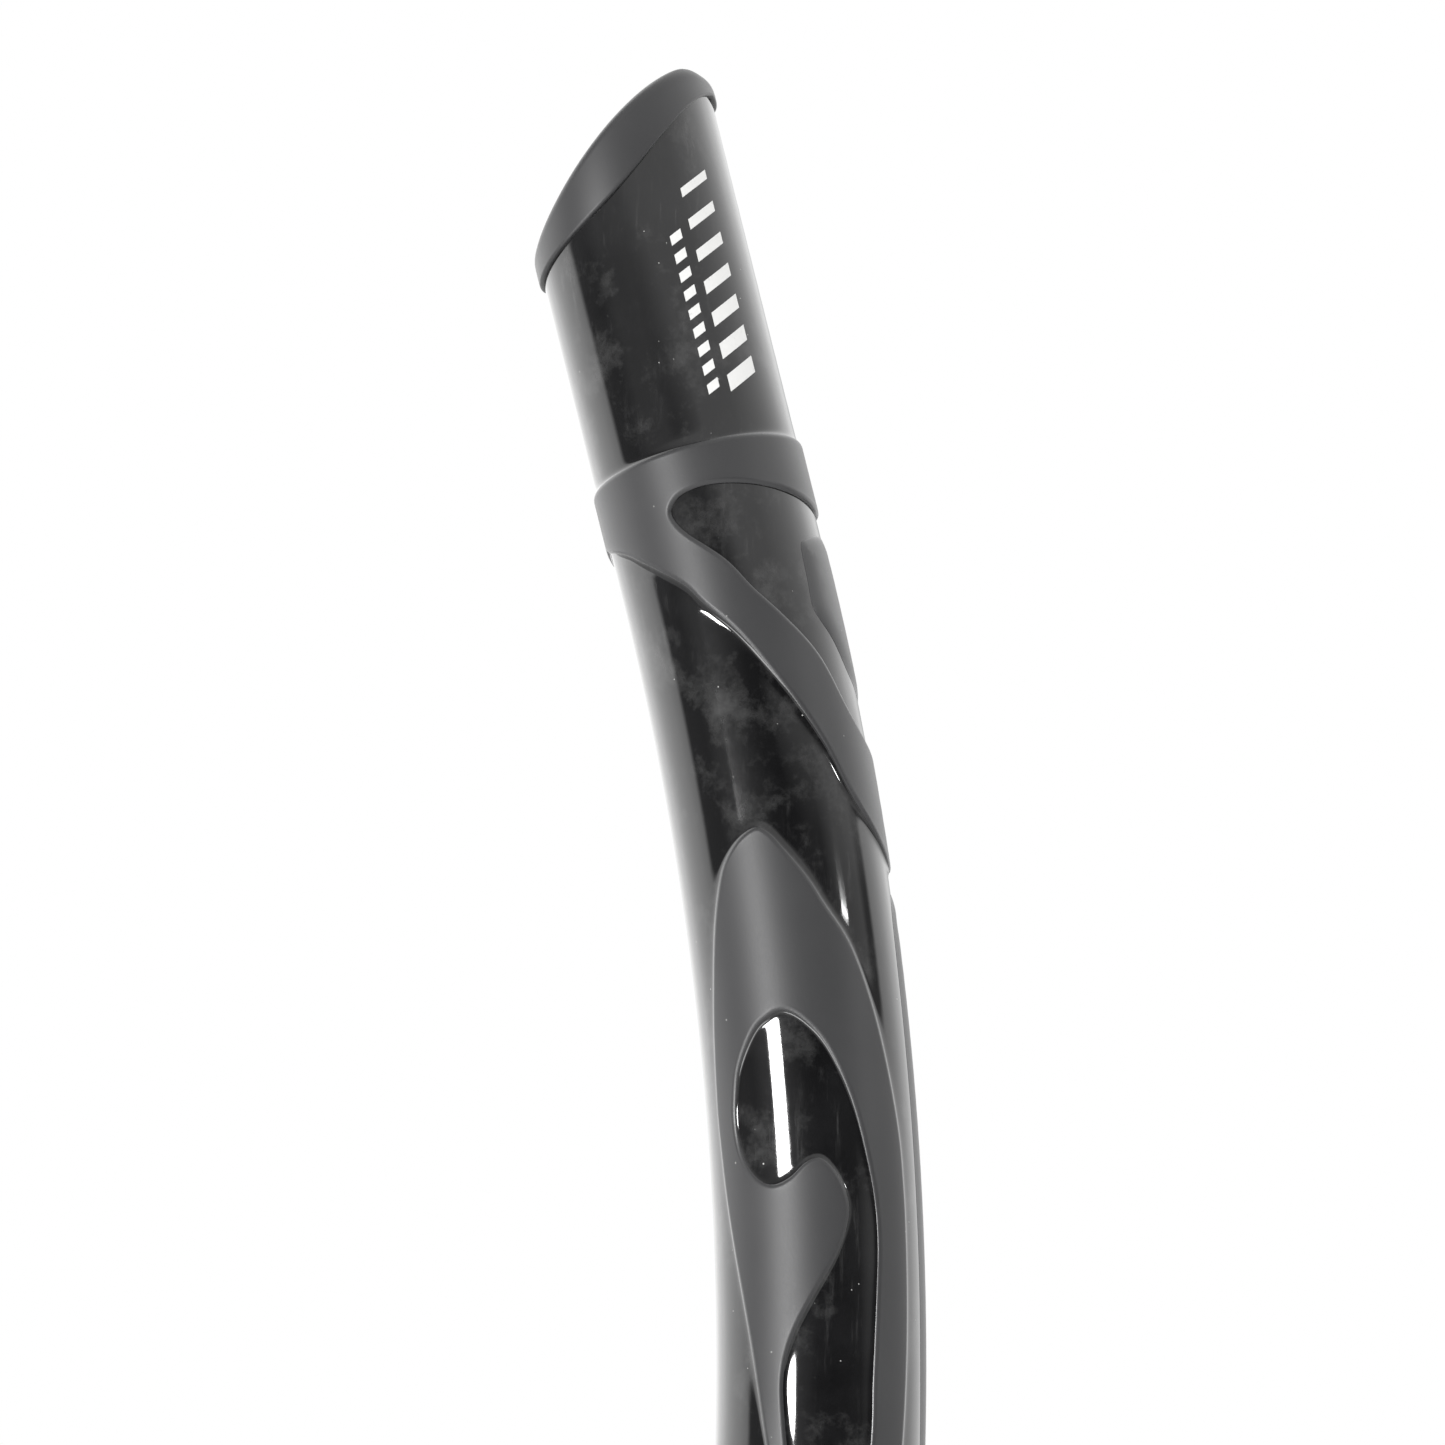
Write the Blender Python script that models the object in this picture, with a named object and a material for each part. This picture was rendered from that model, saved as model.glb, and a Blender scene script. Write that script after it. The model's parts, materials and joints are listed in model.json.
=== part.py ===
"""Snorkel with a bent barrel, soft overmoulds, a swivelling flex hose, a purge chamber, a mouthpiece and
a mask-strap keeper. Blender 4.5, +Z up.

The barrel bends in the XZ plane. Its concave side, where the diver's head and mouth are, faces -X, and
its back faces +X. The origin is below the middle of the whole snorkel, at the height of its lowest point.

A place on the barrel is (s, a): s is the distance along the centre line from the barrel's foot, and a is
the angle round it in degrees, 0 at the -Y side, 90 at the back and -90 at the mouth side.
All sizes below are in millimetres; add() and empty() turn them into metres."""

import math

import bmesh
import bpy
import numpy as np
from mathutils import Euler, Vector, geometry

MM = 0.001

# Where the barrel's foot stands in the snorkel's frame
FOOT_X = 41.455
FOOT_Z = 86.861

# Barrel: an arc from the foot up to BEND_END, then straight
BARREL_R = 13.0
BORE_R = 11.0
BEND_R = 410.0
FOOT_LEAN = 16.0  # degrees, leaning to +X going up
TOP_LEAN = 14.0  # degrees, leaning to -X going up
BEND_END = BEND_R * math.radians(FOOT_LEAN + TOP_LEAN)
AROUND = 40  # facets round the barrel
BARREL_STEPS = 12  # facets along its bend
CELL_DEG = 360 / AROUND
CELL_S = 8.0  # length of a facet along the overmoulds

# Overmoulds
SKIN_IN = 13.28
SKIN_OUT = 13.85
RIM_TOP = 1.0  # thickness of the cap over the barrel's end
RIM_GAP = 0.25
RIM_IN = 10.0
RIM_DEPTH = 5.0  # how far the cap's lip reaches down the bore
RIM_SOFT = 0.5
COLLAR_TOP = 228.0
SEAM_AT = CELL_S * 28  # height of the sleeve's one point on its seam between its two edges

# Foot: swivel, cuff and hose, all turned about the foot's axis
NIPPLE_R = 10.4
NIPPLE_BORE_R = 8.4
NIPPLE_FLANGE_R = 14.0
HOSE_START = 5.6  # below the foot
HOSE_CUFF = 10.0
HOSE_CUFF_R = 12.6
HOSE_PITCH = 5.0
HOSE_FOLDS = 8
HOSE_CREST_R = 13.6
HOSE_ROOT_R = 11.9
HOSE_WALL = 1.2
HOSE_STEP = 0.8  # from a cuff down to the root of the first fold
HOSE_END_LEAN = 50.0  # degrees from straight down, towards the mouth
HOSE_BEND = HOSE_FOLDS * HOSE_PITCH
HOSE_LENGTH = 2 * HOSE_CUFF + HOSE_BEND
TURNED = 24  # facets round smaller turned pieces
SMALL = 16  # facets round pins and rivets
FIT = 0.3  # gap between a sleeve and what it sits on
BAND_WIDE = 4.5  # hose clamps
BAND_THICK = 1.1
BAND_HEAD = 1.8
BAND_HEAD_DEG = 30.0

# Purge chamber: local +Z is up its axis and local -X points to the mouth
CHAMBER_TILT = 10.0
CHAMBER_R = 18.0
CHAMBER_WALL = 2.0
CHAMBER_TOP = 14.0
CHAMBER_RIM = -10.0
HOSE_SPIGOT_ANGLE = 40.0  # from the chamber's axis, away from the mouth
HOSE_SPIGOT_START = 21.0
SPIGOT_ROOT_Z = 3.0
MOUTH_Z = 3.5
MOUTH_SPIGOT_R = 9.4
MOUTH_BORE_R = 7.8
MOUTH_SPIGOT_END = 31.0
SEAT_TOP = -5.0
PURGE_LIFT = 1.2  # travel of the purge flap
TIE_X = 24.0  # mouthpiece tie, from the chamber's axis
TIE_IN = 12.0
TIE_WIDE = 3.6
TIE_HEAD = 1.6
SHIELD_BOW = 0.008  # how fast the lip shield curves back, per mm off its middle
BITE_ROOTS = ((14.5, 44.5), (24.0, 47.8))  # (y, x) of a bite tongue's two corners on the shield
BITE_LONG = 15.0
BITE_THICK = 3.8

# Keeper: a liner, a ring and a strap clip at this distance up the barrel
KEEPER_S = 45.0
CLIP_FLOOR = 25.1  # the strap's seat, from the barrel's axis
CLIP_GAP = 7.0  # room for the strap under the gate
CLIP_PLATE = 2.6
CLIP_WIDE = 22.0
CLIP_HALF = 18.0
EAR_WIDE = 3.4
PIN_Z = -15.6
PIN_X = 30.1
PIN_R = 1.0
PIN_HOLE_R = 1.3
HUB_R = 2.5
RIVET_HOLE_R = 2.4

BLACK = (0.012, 0.012, 0.013)
GREY = (0.10, 0.10, 0.105)
CLEAR = (0.55, 0.57, 0.58)


# ---------------------------------------------------------------- scene helpers

def clear_scene():
    for obj in list(bpy.data.objects):
        bpy.data.objects.remove(obj)


def empty(name, parent=None, place=(0, 0, 0), tilt=0.0, turn=0.0):
    """A frame: tilt in degrees about Y, after a turn in degrees about its own Z."""
    obj = bpy.data.objects.new(name, None)
    bpy.context.collection.objects.link(obj)
    obj.location = Vector(place) * MM
    obj.rotation_euler = Euler((0, math.radians(tilt), math.radians(turn)), "ZYX")
    obj.rotation_mode = "ZYX"
    obj.parent = parent
    return obj


def material(name, color, roughness, metallic=0.0):
    mat = bpy.data.materials.new(name)
    mat.use_nodes = True
    shader = mat.node_tree.nodes["Principled BSDF"]
    shader.inputs["Base Color"].default_value = (*color, 1)
    shader.inputs["Roughness"].default_value = roughness
    shader.inputs["Metallic"].default_value = metallic
    return mat


def add(name, verts, faces, parent, color=GREY, roughness=0.6, metallic=0.0, place=(0, 0, 0)):
    """One closed solid from millimetre points, its faces turned outwards, under its parent frame."""
    mesh = bpy.data.meshes.new(name)
    mesh.from_pydata([[c * MM for c in v] for v in verts], [], faces)
    work = bmesh.new()
    work.from_mesh(mesh)
    bmesh.ops.recalc_face_normals(work, faces=work.faces)
    work.to_mesh(mesh)
    work.free()
    mesh.shade_smooth()
    mesh.set_sharp_from_angle(angle=math.radians(35))
    obj = bpy.data.objects.new(name, mesh)
    bpy.context.collection.objects.link(obj)
    obj.parent = parent
    obj.location = Vector(place) * MM
    obj.data.materials.append(material(name, color, roughness, metallic))
    return obj


def combine(target, tool, operation):
    """Join or cut the target with a hidden tool."""
    tool.hide_render = True
    tool.display_type = "WIRE"
    boolean = target.modifiers.new(tool.name, "BOOLEAN")
    boolean.object = tool
    boolean.operation = operation


# ---------------------------------------------------------------- mesh helpers

def skin(rings, closed):
    """Quads between rings of equal length. Closed joins the last ring to the first; otherwise both ends are
    capped."""
    count = len(rings[0])
    verts = [p for ring in rings for p in ring]
    faces = []
    for i in range(len(rings) if closed else len(rings) - 1):
        low = i * count
        high = (i + 1) % len(rings) * count
        for j in range(count):
            k = (j + 1) % count
            faces.append((low + j, low + k, high + k, high + j))
    if not closed:
        faces.append(tuple(range(count)))
        faces.append(tuple(range(len(verts) - count, len(verts))))
    return verts, faces


def circle(radius, z, count=TURNED):
    turns = [2 * math.pi * i / count for i in range(count)]
    return [(radius * math.cos(t), radius * math.sin(t), z) for t in turns]


def turned(profile, count=TURNED, closed=True):
    """A profile of (radius, z) points turned about Z: a ring when closed, or a shaft with flat ends."""
    return skin([circle(r, z, count) for r, z in profile], closed)


def prism(outline, y_low, y_high):
    """An (x, z) outline extruded along Y."""
    return skin([[(x, y, z) for x, z in outline] for y in (y_low, y_high)], False)


def tag_band(radius_in, radius_out, width, head, head_deg):
    """A tie band: a ring about Z whose outside rises by head over head_deg degrees, centred on +X."""
    rings = []
    for i in range(TURNED):
        turn = 360 * i / TURNED
        raised = radius_out + (head if (turn + head_deg / 2) % 360 <= head_deg else 0)
        half = width / 2
        section = [(radius_in, -half), (raised, -half), (raised, half), (radius_in, half)]
        t = math.radians(turn)
        rings.append([(r * math.cos(t), r * math.sin(t), z) for r, z in section])
    return skin(rings, True)


def inside(points, outlines):
    """True for each point that lies within the first outline and in none of the holes."""
    odd = np.zeros(len(points), bool)
    for outline in outlines:
        a = np.array(outline)
        b = np.roll(a, -1, axis=0)
        for (x0, y0), (x1, y1) in zip(a, b):
            if y0 == y1:
                continue
            crosses = (points[:, 1] < y0) != (points[:, 1] < y1)
            at = x0 + (points[:, 1] - y0) * (x1 - x0) / (y1 - y0)
            odd ^= crosses & (points[:, 0] < at)
    return odd


def clearance(points, outlines):
    """Distance from each point to the nearest outline."""
    best = np.full(len(points), np.inf)
    for outline in outlines:
        a = np.array(outline)
        b = np.roll(a, -1, axis=0)
        for p, q in zip(a, b):
            run = q - p
            t = np.clip(((points - p) @ run) / max(run @ run, 1e-12), 0, 1)
            best = np.minimum(best, np.linalg.norm(points - (p + t[:, None] * run), axis=1))
    return best


def slab(outlines, low, high, wrap=None):
    """A sheet between the surfaces low(u, v) and high(u, v). Its edge follows closed (u, v) outlines, the
    first outside and the others holes, and it has a point at each whole (u, v). With wrap, u repeats."""
    corners = np.vstack([np.array(o) for o in outlines])
    lo = np.floor(corners.min(axis=0)).astype(int)
    hi = np.ceil(corners.max(axis=0)).astype(int)
    grid = [(u, v) for u in range(lo[0], hi[0] + 1) for v in range(lo[1], hi[1] + 1)]
    grid = np.array(grid, float)
    grid = grid[inside(grid, outlines)]
    grid = grid[clearance(grid, outlines) > 0.3]
    points = np.vstack([corners, grid])
    edges = []
    first = 0
    for outline in outlines:
        size = len(outline)
        edges += [(first + i, first + (i + 1) % size) for i in range(size)]
        first += size
    cdt = geometry.delaunay_2d_cdt([Vector(p) for p in points], edges, [], 0, 1e-5)
    uv = np.array(cdt[0])
    tris = [t for t in cdt[2] if inside(uv[list(t)].mean(axis=0)[None], outlines)[0]]
    seen = {}
    index = []
    for u, v in uv:
        key = (round((u - lo[0]) % wrap, 4) if wrap else round(u, 4), round(v, 4))
        index.append(seen.setdefault(key, len(seen)))
    place = {index[i]: uv[i] for i in range(len(uv))}
    tris = [tuple(index[i] for i in t) for t in tris]
    used = sorted({i for t in tris for i in t})
    row = {old: new for new, old in enumerate(used)}
    tris = [tuple(row[i] for i in t) for t in tris]
    verts = [low(*place[i]) for i in used] + [high(*place[i]) for i in used]
    shift = len(used)
    faces = [tuple(reversed(t)) for t in tris] + [tuple(i + shift for i in t) for t in tris]
    sides = {}
    for t in tris:
        for edge in zip(t, t[1:] + t[:1]):
            sides[frozenset(edge)] = None if frozenset(edge) in sides else edge
    faces += [(p, q, q + shift, p + shift) for p, q in filter(None, sides.values())]
    return verts, faces


def curve(points, steps=2):
    """A smooth run through the points, from the first to the last, both included."""
    pts = [Vector(p) for p in points]
    pts = [2 * pts[0] - pts[1], *pts, 2 * pts[-1] - pts[-2]]
    out = []
    for p0, p1, p2, p3 in zip(pts, pts[1:], pts[2:], pts[3:]):
        for k in range(steps):
            t = k / steps
            bend = 2 * p0 - 5 * p1 + 4 * p2 - p3
            twist = 3 * p1 - p0 - 3 * p2 + p3
            out.append((2 * p1 + (p2 - p0) * t + bend * t * t + twist * t ** 3) / 2)
    return [tuple(p) for p in out] + [tuple(pts[-2])]


# ---------------------------------------------------------------- barrel and its surface

def centre(s):
    """Centre line point (x, z) from the foot, and the lean there in radians, + towards -X going up. It runs
    on straight past both ends."""
    foot = math.radians(FOOT_LEAN)
    along = min(max(s, 0), BEND_END)
    lean = along / BEND_R - foot
    x = BEND_R * (math.cos(lean) - math.cos(foot))
    z = BEND_R * (math.sin(lean) + math.sin(foot))
    return x - (s - along) * math.sin(lean), z + (s - along) * math.cos(lean), lean


def on_barrel(s, a, radius):
    x, z, lean = centre(s)
    turn = math.radians(a)
    out = radius * math.sin(turn)
    return x + out * math.cos(lean), -radius * math.cos(turn), z + out * math.sin(lean)


def rim_crest(a):
    """Height s of the oblique mouth's top edge; its highest tip, at the back, is rounded down."""
    u = math.sin(math.radians(a))
    return 269.6 + 8.4 * u - 1.9 * u * u - 2.2 * max(0, (u - 0.7) / 0.3) ** 2


def rim_lower(a):
    u = math.sin(math.radians(a))
    edge = 261.9 + 9.4 * u + 3.6 * u ** 2 - 0.8 * u ** 3 - 1.6 * u ** 4
    return min(edge, rim_crest(a) - 2 * RIM_TOP)


def around():
    return [CELL_DEG * i - 90 for i in range(AROUND)]


def barrel_cut(a):
    return rim_crest(a) - RIM_TOP - RIM_GAP


def make_barrel(parent):
    levels = [BEND_END * i / BARREL_STEPS for i in range(BARREL_STEPS + 1)]
    outer = [[on_barrel(s, a, BARREL_R) for a in around()] for s in levels]
    inner = [[on_barrel(s, a, BORE_R) for a in around()] for s in reversed(levels)]
    cut = [[on_barrel(barrel_cut(a), a, r) for a in around()] for r in (BARREL_R, BORE_R)]
    add("barrel", *skin(outer + cut + inner, True), parent, BLACK, 0.12)


def make_top_rim(parent):
    """A cap over the mouth: its edge outside follows rim_lower, all its other edges lie below the crest."""
    leg = BARREL_R + RIM_GAP
    lip = BORE_R - RIM_GAP
    below_crest = [(SKIN_OUT, RIM_SOFT), (SKIN_OUT - RIM_SOFT, 0), (RIM_IN + RIM_SOFT, 0), (RIM_IN, RIM_SOFT),
                   (RIM_IN, RIM_DEPTH), (lip, RIM_DEPTH), (lip, RIM_TOP), (leg, RIM_TOP)]
    rings = [[on_barrel(rim_lower(a), a, radius) for a in around()] for radius in (leg, SKIN_OUT)]
    rings += [[on_barrel(rim_crest(a) - down, a, radius) for a in around()] for radius, down in below_crest]
    add("top_rim", *skin(rings, True), parent, GREY, 0.75)


def to_cells(points):
    """(s, a) places as (u, v), counted in surface cells."""
    return [(a / CELL_DEG, s / CELL_S) for s, a in points]


def mirrored(half):
    """A half outline (s, a), from the back's middle line round the near side, closed by its mirror image."""
    return half + [(s, 180 - a) for s, a in reversed(half) if a != 90]


def overmould(name, parent, outlines, wrap=None):
    low = lambda u, v: on_barrel(v * CELL_S, u * CELL_DEG, SKIN_IN)
    high = lambda u, v: on_barrel(v * CELL_S, u * CELL_DEG, SKIN_OUT)
    add(name, *slab([to_cells(o) for o in outlines], low, high, wrap), parent, GREY, 0.75)


SLEEVE_EDGE = [(221, -90), (218.4, -59), (214, -35), (208.7, -17), (204.3, -3), (197.9, 13), (189.4, 33),
               (180.7, 58), (176.6, 90)]
WINDOW_HALF = [(218.8, 90), (220.3, 53), (222, 24), (222.7, -3), (222.1, -19), (220.9, -23), (217.4, -16),
               (213.3, 0), (205.4, 24), (200.1, 42), (191.2, 66), (188.2, 90)]
PATCH_EDGE = [(216, 90), (214.2, 50)]
PATCH_SIDE = [(213, 47.5), (206.3, 45.5), (203.2, 56), (198.2, 71), (195.5, 90)]
PANEL_FRONT = [(180.3, -12), (179, -26), (175, -39), (166, -50.5), (155.6, -58), (147, -61), (138, -58.8),
               (128, -52), (116.7, -41), (103.7, -31), (90, -17), (76, -3), (63, 12)]
PANEL_BACK = [(63, 12), (76, 33), (92, 46), (104.3, 50), (117.5, 53), (130, 54.5), (141.9, 53), (153.3, 44),
              (164.7, 30), (173.1, 12), (178.1, -2), (180.3, -12)]
HOOK_OUTER = [(157.3, -14), (154.8, 4), (149.3, 16), (142.4, 26), (134, 32), (120.9, 31), (104, 28), (90, 22),
              (78, 12)]
HOOK_INNER = [(78, 12), (90, -3), (100, -14), (107, -20), (113.6, -21), (119, -12), (126.9, 8), (132, 16),
              (136.3, 12), (139, 0), (136.6, -16), (137.3, -35), (142.3, -45), (148.2, -44), (153.9, -34),
              (157.3, -14)]
SPINE_HALF = [(173, 90), (160, 84), (146, 81.5), (110, 80), (84, 83), (69, 90)]


def make_upper_sleeve(parent):
    """The collar with its straps: a band round the barrel with one window across the back."""
    heights, angles = zip(*curve(SLEEVE_EDGE))
    turns = around() + [270]
    bottom = [(float(np.interp(min(a, 180 - a), angles, heights)), a) for a in turns]
    top = [(COLLAR_TOP, a) for a in reversed(turns)]
    outside = bottom + [(SEAM_AT, turns[-1])] + top + [(SEAM_AT, turns[0])]
    overmould("upper_sleeve", parent, [outside, mirrored(curve(WINDOW_HALF))], wrap=AROUND)


def make_overmoulds(parent):
    make_upper_sleeve(parent)
    overmould("back_patch", parent, [mirrored(curve(PATCH_EDGE, 4) + curve(PATCH_SIDE))])
    panel = curve(PANEL_FRONT)[:-1] + curve(PANEL_BACK)[:-1]
    hook = curve(HOOK_OUTER)[:-1] + curve(HOOK_INNER)[:-1]
    overmould("side_panel_near", parent, [panel, hook])
    far = [[(s, 180 - a) for s, a in outline] for outline in (panel, hook)]
    overmould("side_panel_far", parent, far)
    overmould("back_spine", parent, [mirrored(curve(SPINE_HALF, 3))])


# ---------------------------------------------------------------- swivel and hose

def make_foot_cuff(foot):
    """A cuff that follows the barrel's bend, with a lip under the swivel's flange."""
    section = [(13.35, 22), (13.35, 0.6), (14.3, 0.6), (14.3, -3.7), (11.5, -3.7), (11.5, -5.2), (15.5, -5.2),
               (16, -4.5), (16, 2), (15, 16), (15, 19), (15.5, 20), (15.5, 22)]
    rings = [[on_barrel(s, a, radius) for a in around()] for radius, s in section]
    add("foot_cuff", *skin(rings, True), foot, GREY, 0.7)


def hose_clamp():
    inner = HOSE_CUFF_R + FIT
    return tag_band(inner, inner + BAND_THICK, BAND_WIDE, BAND_HEAD, BAND_HEAD_DEG)


def make_swivel(axis):
    """Pieces turned about the foot's axis; z is 0 at the barrel's foot."""
    nipple = [(NIPPLE_BORE_R, 16), (NIPPLE_R, 16), (NIPPLE_R, 9.1), (9.3, 9.1), (9.3, 6.9), (10.6, 6.9),
              (10.6, -0.4), (NIPPLE_FLANGE_R, -0.4), (NIPPLE_FLANGE_R, -3.4), (NIPPLE_R, -3.4),
              (NIPPLE_R, -15.4), (NIPPLE_BORE_R, -15.4)]
    add("hose_nipple", *turned(nipple), axis, BLACK, 0.3)
    ring = [(10.2 + 0.6 * math.cos(t), 8 + 0.6 * math.sin(t)) for t in np.linspace(0, 2 * math.pi, 9)[:-1]]
    add("o_ring", *turned(ring), axis, BLACK, 0.5)
    add("hose_clamp_upper", *hose_clamp(), axis, BLACK, 0.4, place=(0, 0, -HOSE_START - HOSE_CUFF / 2))


def hose_centre(along):
    """Point (x, z) and lean in radians, from straight down towards the mouth, along the hose."""
    start = math.radians(FOOT_LEAN)
    end = math.radians(HOSE_END_LEAN)
    bend_r = HOSE_BEND / (end - start)
    before = min(along, HOSE_CUFF)
    turn = min(max(along - HOSE_CUFF, 0), HOSE_BEND) / bend_r
    after = max(along - HOSE_CUFF - HOSE_BEND, 0)
    lean = start + turn
    straight = HOSE_START + before
    x = -straight * math.sin(start) - bend_r * (math.cos(start) - math.cos(lean)) - after * math.sin(lean)
    z = -straight * math.cos(start) - bend_r * (math.sin(lean) - math.sin(start)) - after * math.cos(lean)
    return x, z, lean


def hose_ring(along, radius):
    x, z, lean = hose_centre(along)
    ring = []
    for i in range(TURNED):
        turn = 2 * math.pi * i / TURNED
        out = radius * math.cos(turn)
        ring.append((x + out * math.cos(lean), radius * math.sin(turn), z - out * math.sin(lean)))
    return ring


def make_hose(foot):
    """Plain cuffs at both ends and zigzag folds between them, with an even wall."""
    folds_end = HOSE_CUFF + HOSE_BEND
    levels = [(0, HOSE_CUFF_R), (HOSE_CUFF - HOSE_STEP, HOSE_CUFF_R)]
    for fold in range(HOSE_FOLDS):
        start = HOSE_CUFF + fold * HOSE_PITCH
        levels += [(start, HOSE_ROOT_R), (start + HOSE_PITCH / 2, HOSE_CREST_R)]
    levels += [(folds_end, HOSE_ROOT_R), (folds_end + HOSE_STEP, HOSE_CUFF_R), (HOSE_LENGTH, HOSE_CUFF_R)]
    cuff_in = NIPPLE_R + FIT
    outer = [hose_ring(along, radius) for along, radius in levels]
    inner = []
    for along, radius in reversed(levels):
        folded = HOSE_CUFF <= along <= folds_end
        inner.append(hose_ring(along, max(radius - HOSE_WALL, cuff_in) if folded else cuff_in))
    add("flex_hose", *skin(outer + inner, True), foot, GREY, 0.7)


# ---------------------------------------------------------------- purge chamber and mouthpiece

def rod(radius, low, high, count=TURNED):
    """A cylinder along Z."""
    return turned([(radius, low), (radius, high)], count, closed=False)


def to_hose(shape):
    """A shape about Z, moved onto the hose's direction in the chamber's frame."""
    verts, faces = shape
    angle = math.radians(HOSE_SPIGOT_ANGLE)
    moved = [(z * math.sin(angle) + x * math.cos(angle), y,
              SPIGOT_ROOT_Z + z * math.cos(angle) - x * math.sin(angle)) for x, y, z in verts]
    return moved, faces


def to_mouth(shape):
    """A shape about Z, laid down to point along -X at the mouth's height."""
    verts, faces = shape
    return [(-z, y, MOUTH_Z + x) for x, y, z in verts], faces


def make_chamber(axis):
    """A cup open at the bottom, with two spigots joined on; the cavity and both bores meet inside it."""
    shell = [(CHAMBER_R, CHAMBER_RIM), (CHAMBER_R, CHAMBER_TOP - 2), (CHAMBER_R - 2, CHAMBER_TOP)]
    chamber = add("purge_chamber", *turned(shell, closed=False), axis, BLACK, 0.25)
    past = 1.0  # a cutter runs this far past the end it opens
    cavity = rod(CHAMBER_R - CHAMBER_WALL, CHAMBER_RIM - past, CHAMBER_TOP - CHAMBER_WALL)
    hose_end = HOSE_SPIGOT_START + HOSE_CUFF
    tools = [
        ("hose_spigot", to_hose(rod(NIPPLE_R, 6, hose_end - 0.5)), "UNION"),
        ("mouth_spigot", to_mouth(rod(MOUTH_SPIGOT_R, 12, MOUTH_SPIGOT_END)), "UNION"),
        ("cavity", cavity, "DIFFERENCE"),
        ("hose_bore", to_hose(rod(NIPPLE_BORE_R, 2, hose_end + past)), "DIFFERENCE"),
        ("mouth_bore", to_mouth(rod(MOUTH_BORE_R, 9, MOUTH_SPIGOT_END + past)), "DIFFERENCE"),
    ]
    for name, shape, operation in tools:
        combine(chamber, add("cutter_" + name, *shape, axis), operation)


def round_hole(x, y, radius, count=12):
    turns = [2 * math.pi * i / count for i in range(count)]
    return [(x + radius * math.cos(t), y + radius * math.sin(t)) for t in turns]


def arc_slot(inner, outer, from_deg, to_deg, steps=5):
    """A curved slot between two radii."""
    turns = [math.radians(from_deg + (to_deg - from_deg) * i / steps) for i in range(steps + 1)]
    far = [(outer * math.cos(t), outer * math.sin(t)) for t in turns]
    near = [(inner * math.cos(t), inner * math.sin(t)) for t in reversed(turns)]
    return far + near


def plate(outlines, low, high):
    """A flat plate between two heights, in cells of 5 mm so that it needs few points inside."""
    cell = 5.0
    scaled = [[(x / cell, y / cell) for x, y in outline] for outline in outlines]
    return slab(scaled, lambda u, v: (u * cell, v * cell, low), lambda u, v: (u * cell, v * cell, high))


def make_purge(axis):
    """The slotted seat, the flap with its bulb through the seat, and the slotted cover with its skirt."""
    seat_r = CHAMBER_R - CHAMBER_WALL - FIT
    holes = [arc_slot(4.5, 11.5, 60 * i + 8, 60 * i + 52) for i in range(6)]
    rim = round_hole(0, 0, seat_r, TURNED)
    seat = plate([rim, round_hole(0, 0, 1.7)] + holes, SEAT_TOP - 2, SEAT_TOP)
    add("valve_seat", *seat, axis, BLACK, 0.35)
    bulb = SEAT_TOP + PURGE_LIFT + 0.3
    flap = [(0.4, -8.1), (12, -8.1), (13, -7.7), (13, -7.3), (1.35, -7.3), (1.35, bulb), (2.5, bulb),
            (1.6, bulb + 1.6), (0.4, bulb + 2.2)]
    add("purge_diaphragm", *turned(flap, closed=False), axis, CLEAR, 0.45)
    vents = [arc_slot(7.0, 12.5, 45 * i + 9, 45 * i + 36) for i in range(8)]
    face = round_hole(0, 0, CHAMBER_R, TURNED)
    cover = add("purge_cover", *plate([face] + vents, -13, CHAMBER_RIM - 0.9), axis, BLACK, 0.3)
    skirt = [(15.6, -9.7), (15.6, -11.2), (13.8, -11.2), (13.8, -9.7)]
    combine(cover, add("cutter_skirt", *turned(skirt), axis), "UNION")


def oval(x, half_y, half_z, roundness=2.0, bow=0.0, count=TURNED):
    """A ring across the mouth's axis; bow pushes its sides towards the mouth."""
    ring = []
    for i in range(count):
        t = 2 * math.pi * i / count
        y = half_y * math.copysign(abs(math.cos(t)) ** (2 / roundness), math.cos(t))
        z = half_z * math.copysign(abs(math.sin(t)) ** (2 / roundness), math.sin(t))
        ring.append((-x - bow * y * y, y, MOUTH_Z + z))
    return ring


def make_mouthpiece(axis):
    """A sleeve on the spigot, a neck, a bowed lip shield and two bite tabs."""
    grip = MOUTH_SPIGOT_R + FIT
    bow = SHIELD_BOW
    rings = [
        oval(19, 11.7, 11.7), oval(31.5, 11.7, 11.7), oval(36, 13, 10.5), oval(41, 15, 9.5, 2.2, bow / 2),
        oval(42.5, 29, 15, 2.5, bow), oval(43.5, 30, 16, 2.5, bow), oval(44.5, 29, 15, 2.5, bow),
        oval(45, 13, 6, 2.4, bow), oval(41, 12, 6, 2.2), oval(34, MOUTH_BORE_R, MOUTH_BORE_R),
        oval(31.5, MOUTH_BORE_R, MOUTH_BORE_R), oval(31.3, grip, grip), oval(19, grip, grip),
    ]
    body = add("mouthpiece", *skin(rings, True), axis, GREY, 0.6)
    tongue = [(0, -BITE_THICK / 2), (BITE_LONG, -BITE_THICK / 2), (BITE_LONG, BITE_THICK / 2),
              (0, BITE_THICK / 2)]
    lug = [(11.5, -5.5), (15.5, -5), (15.5, 5), (11.5, 5.5)]
    for side in (-1, 1):
        for name, section in (("tongue", tongue), ("lug", lug)):
            ends = [[(-x - out, side * y, MOUTH_Z + up) for out, up in section] for y, x in BITE_ROOTS]
            combine(body, add(f"cutter_{name}_{side}", *skin(ends, False), axis), "UNION")


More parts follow.
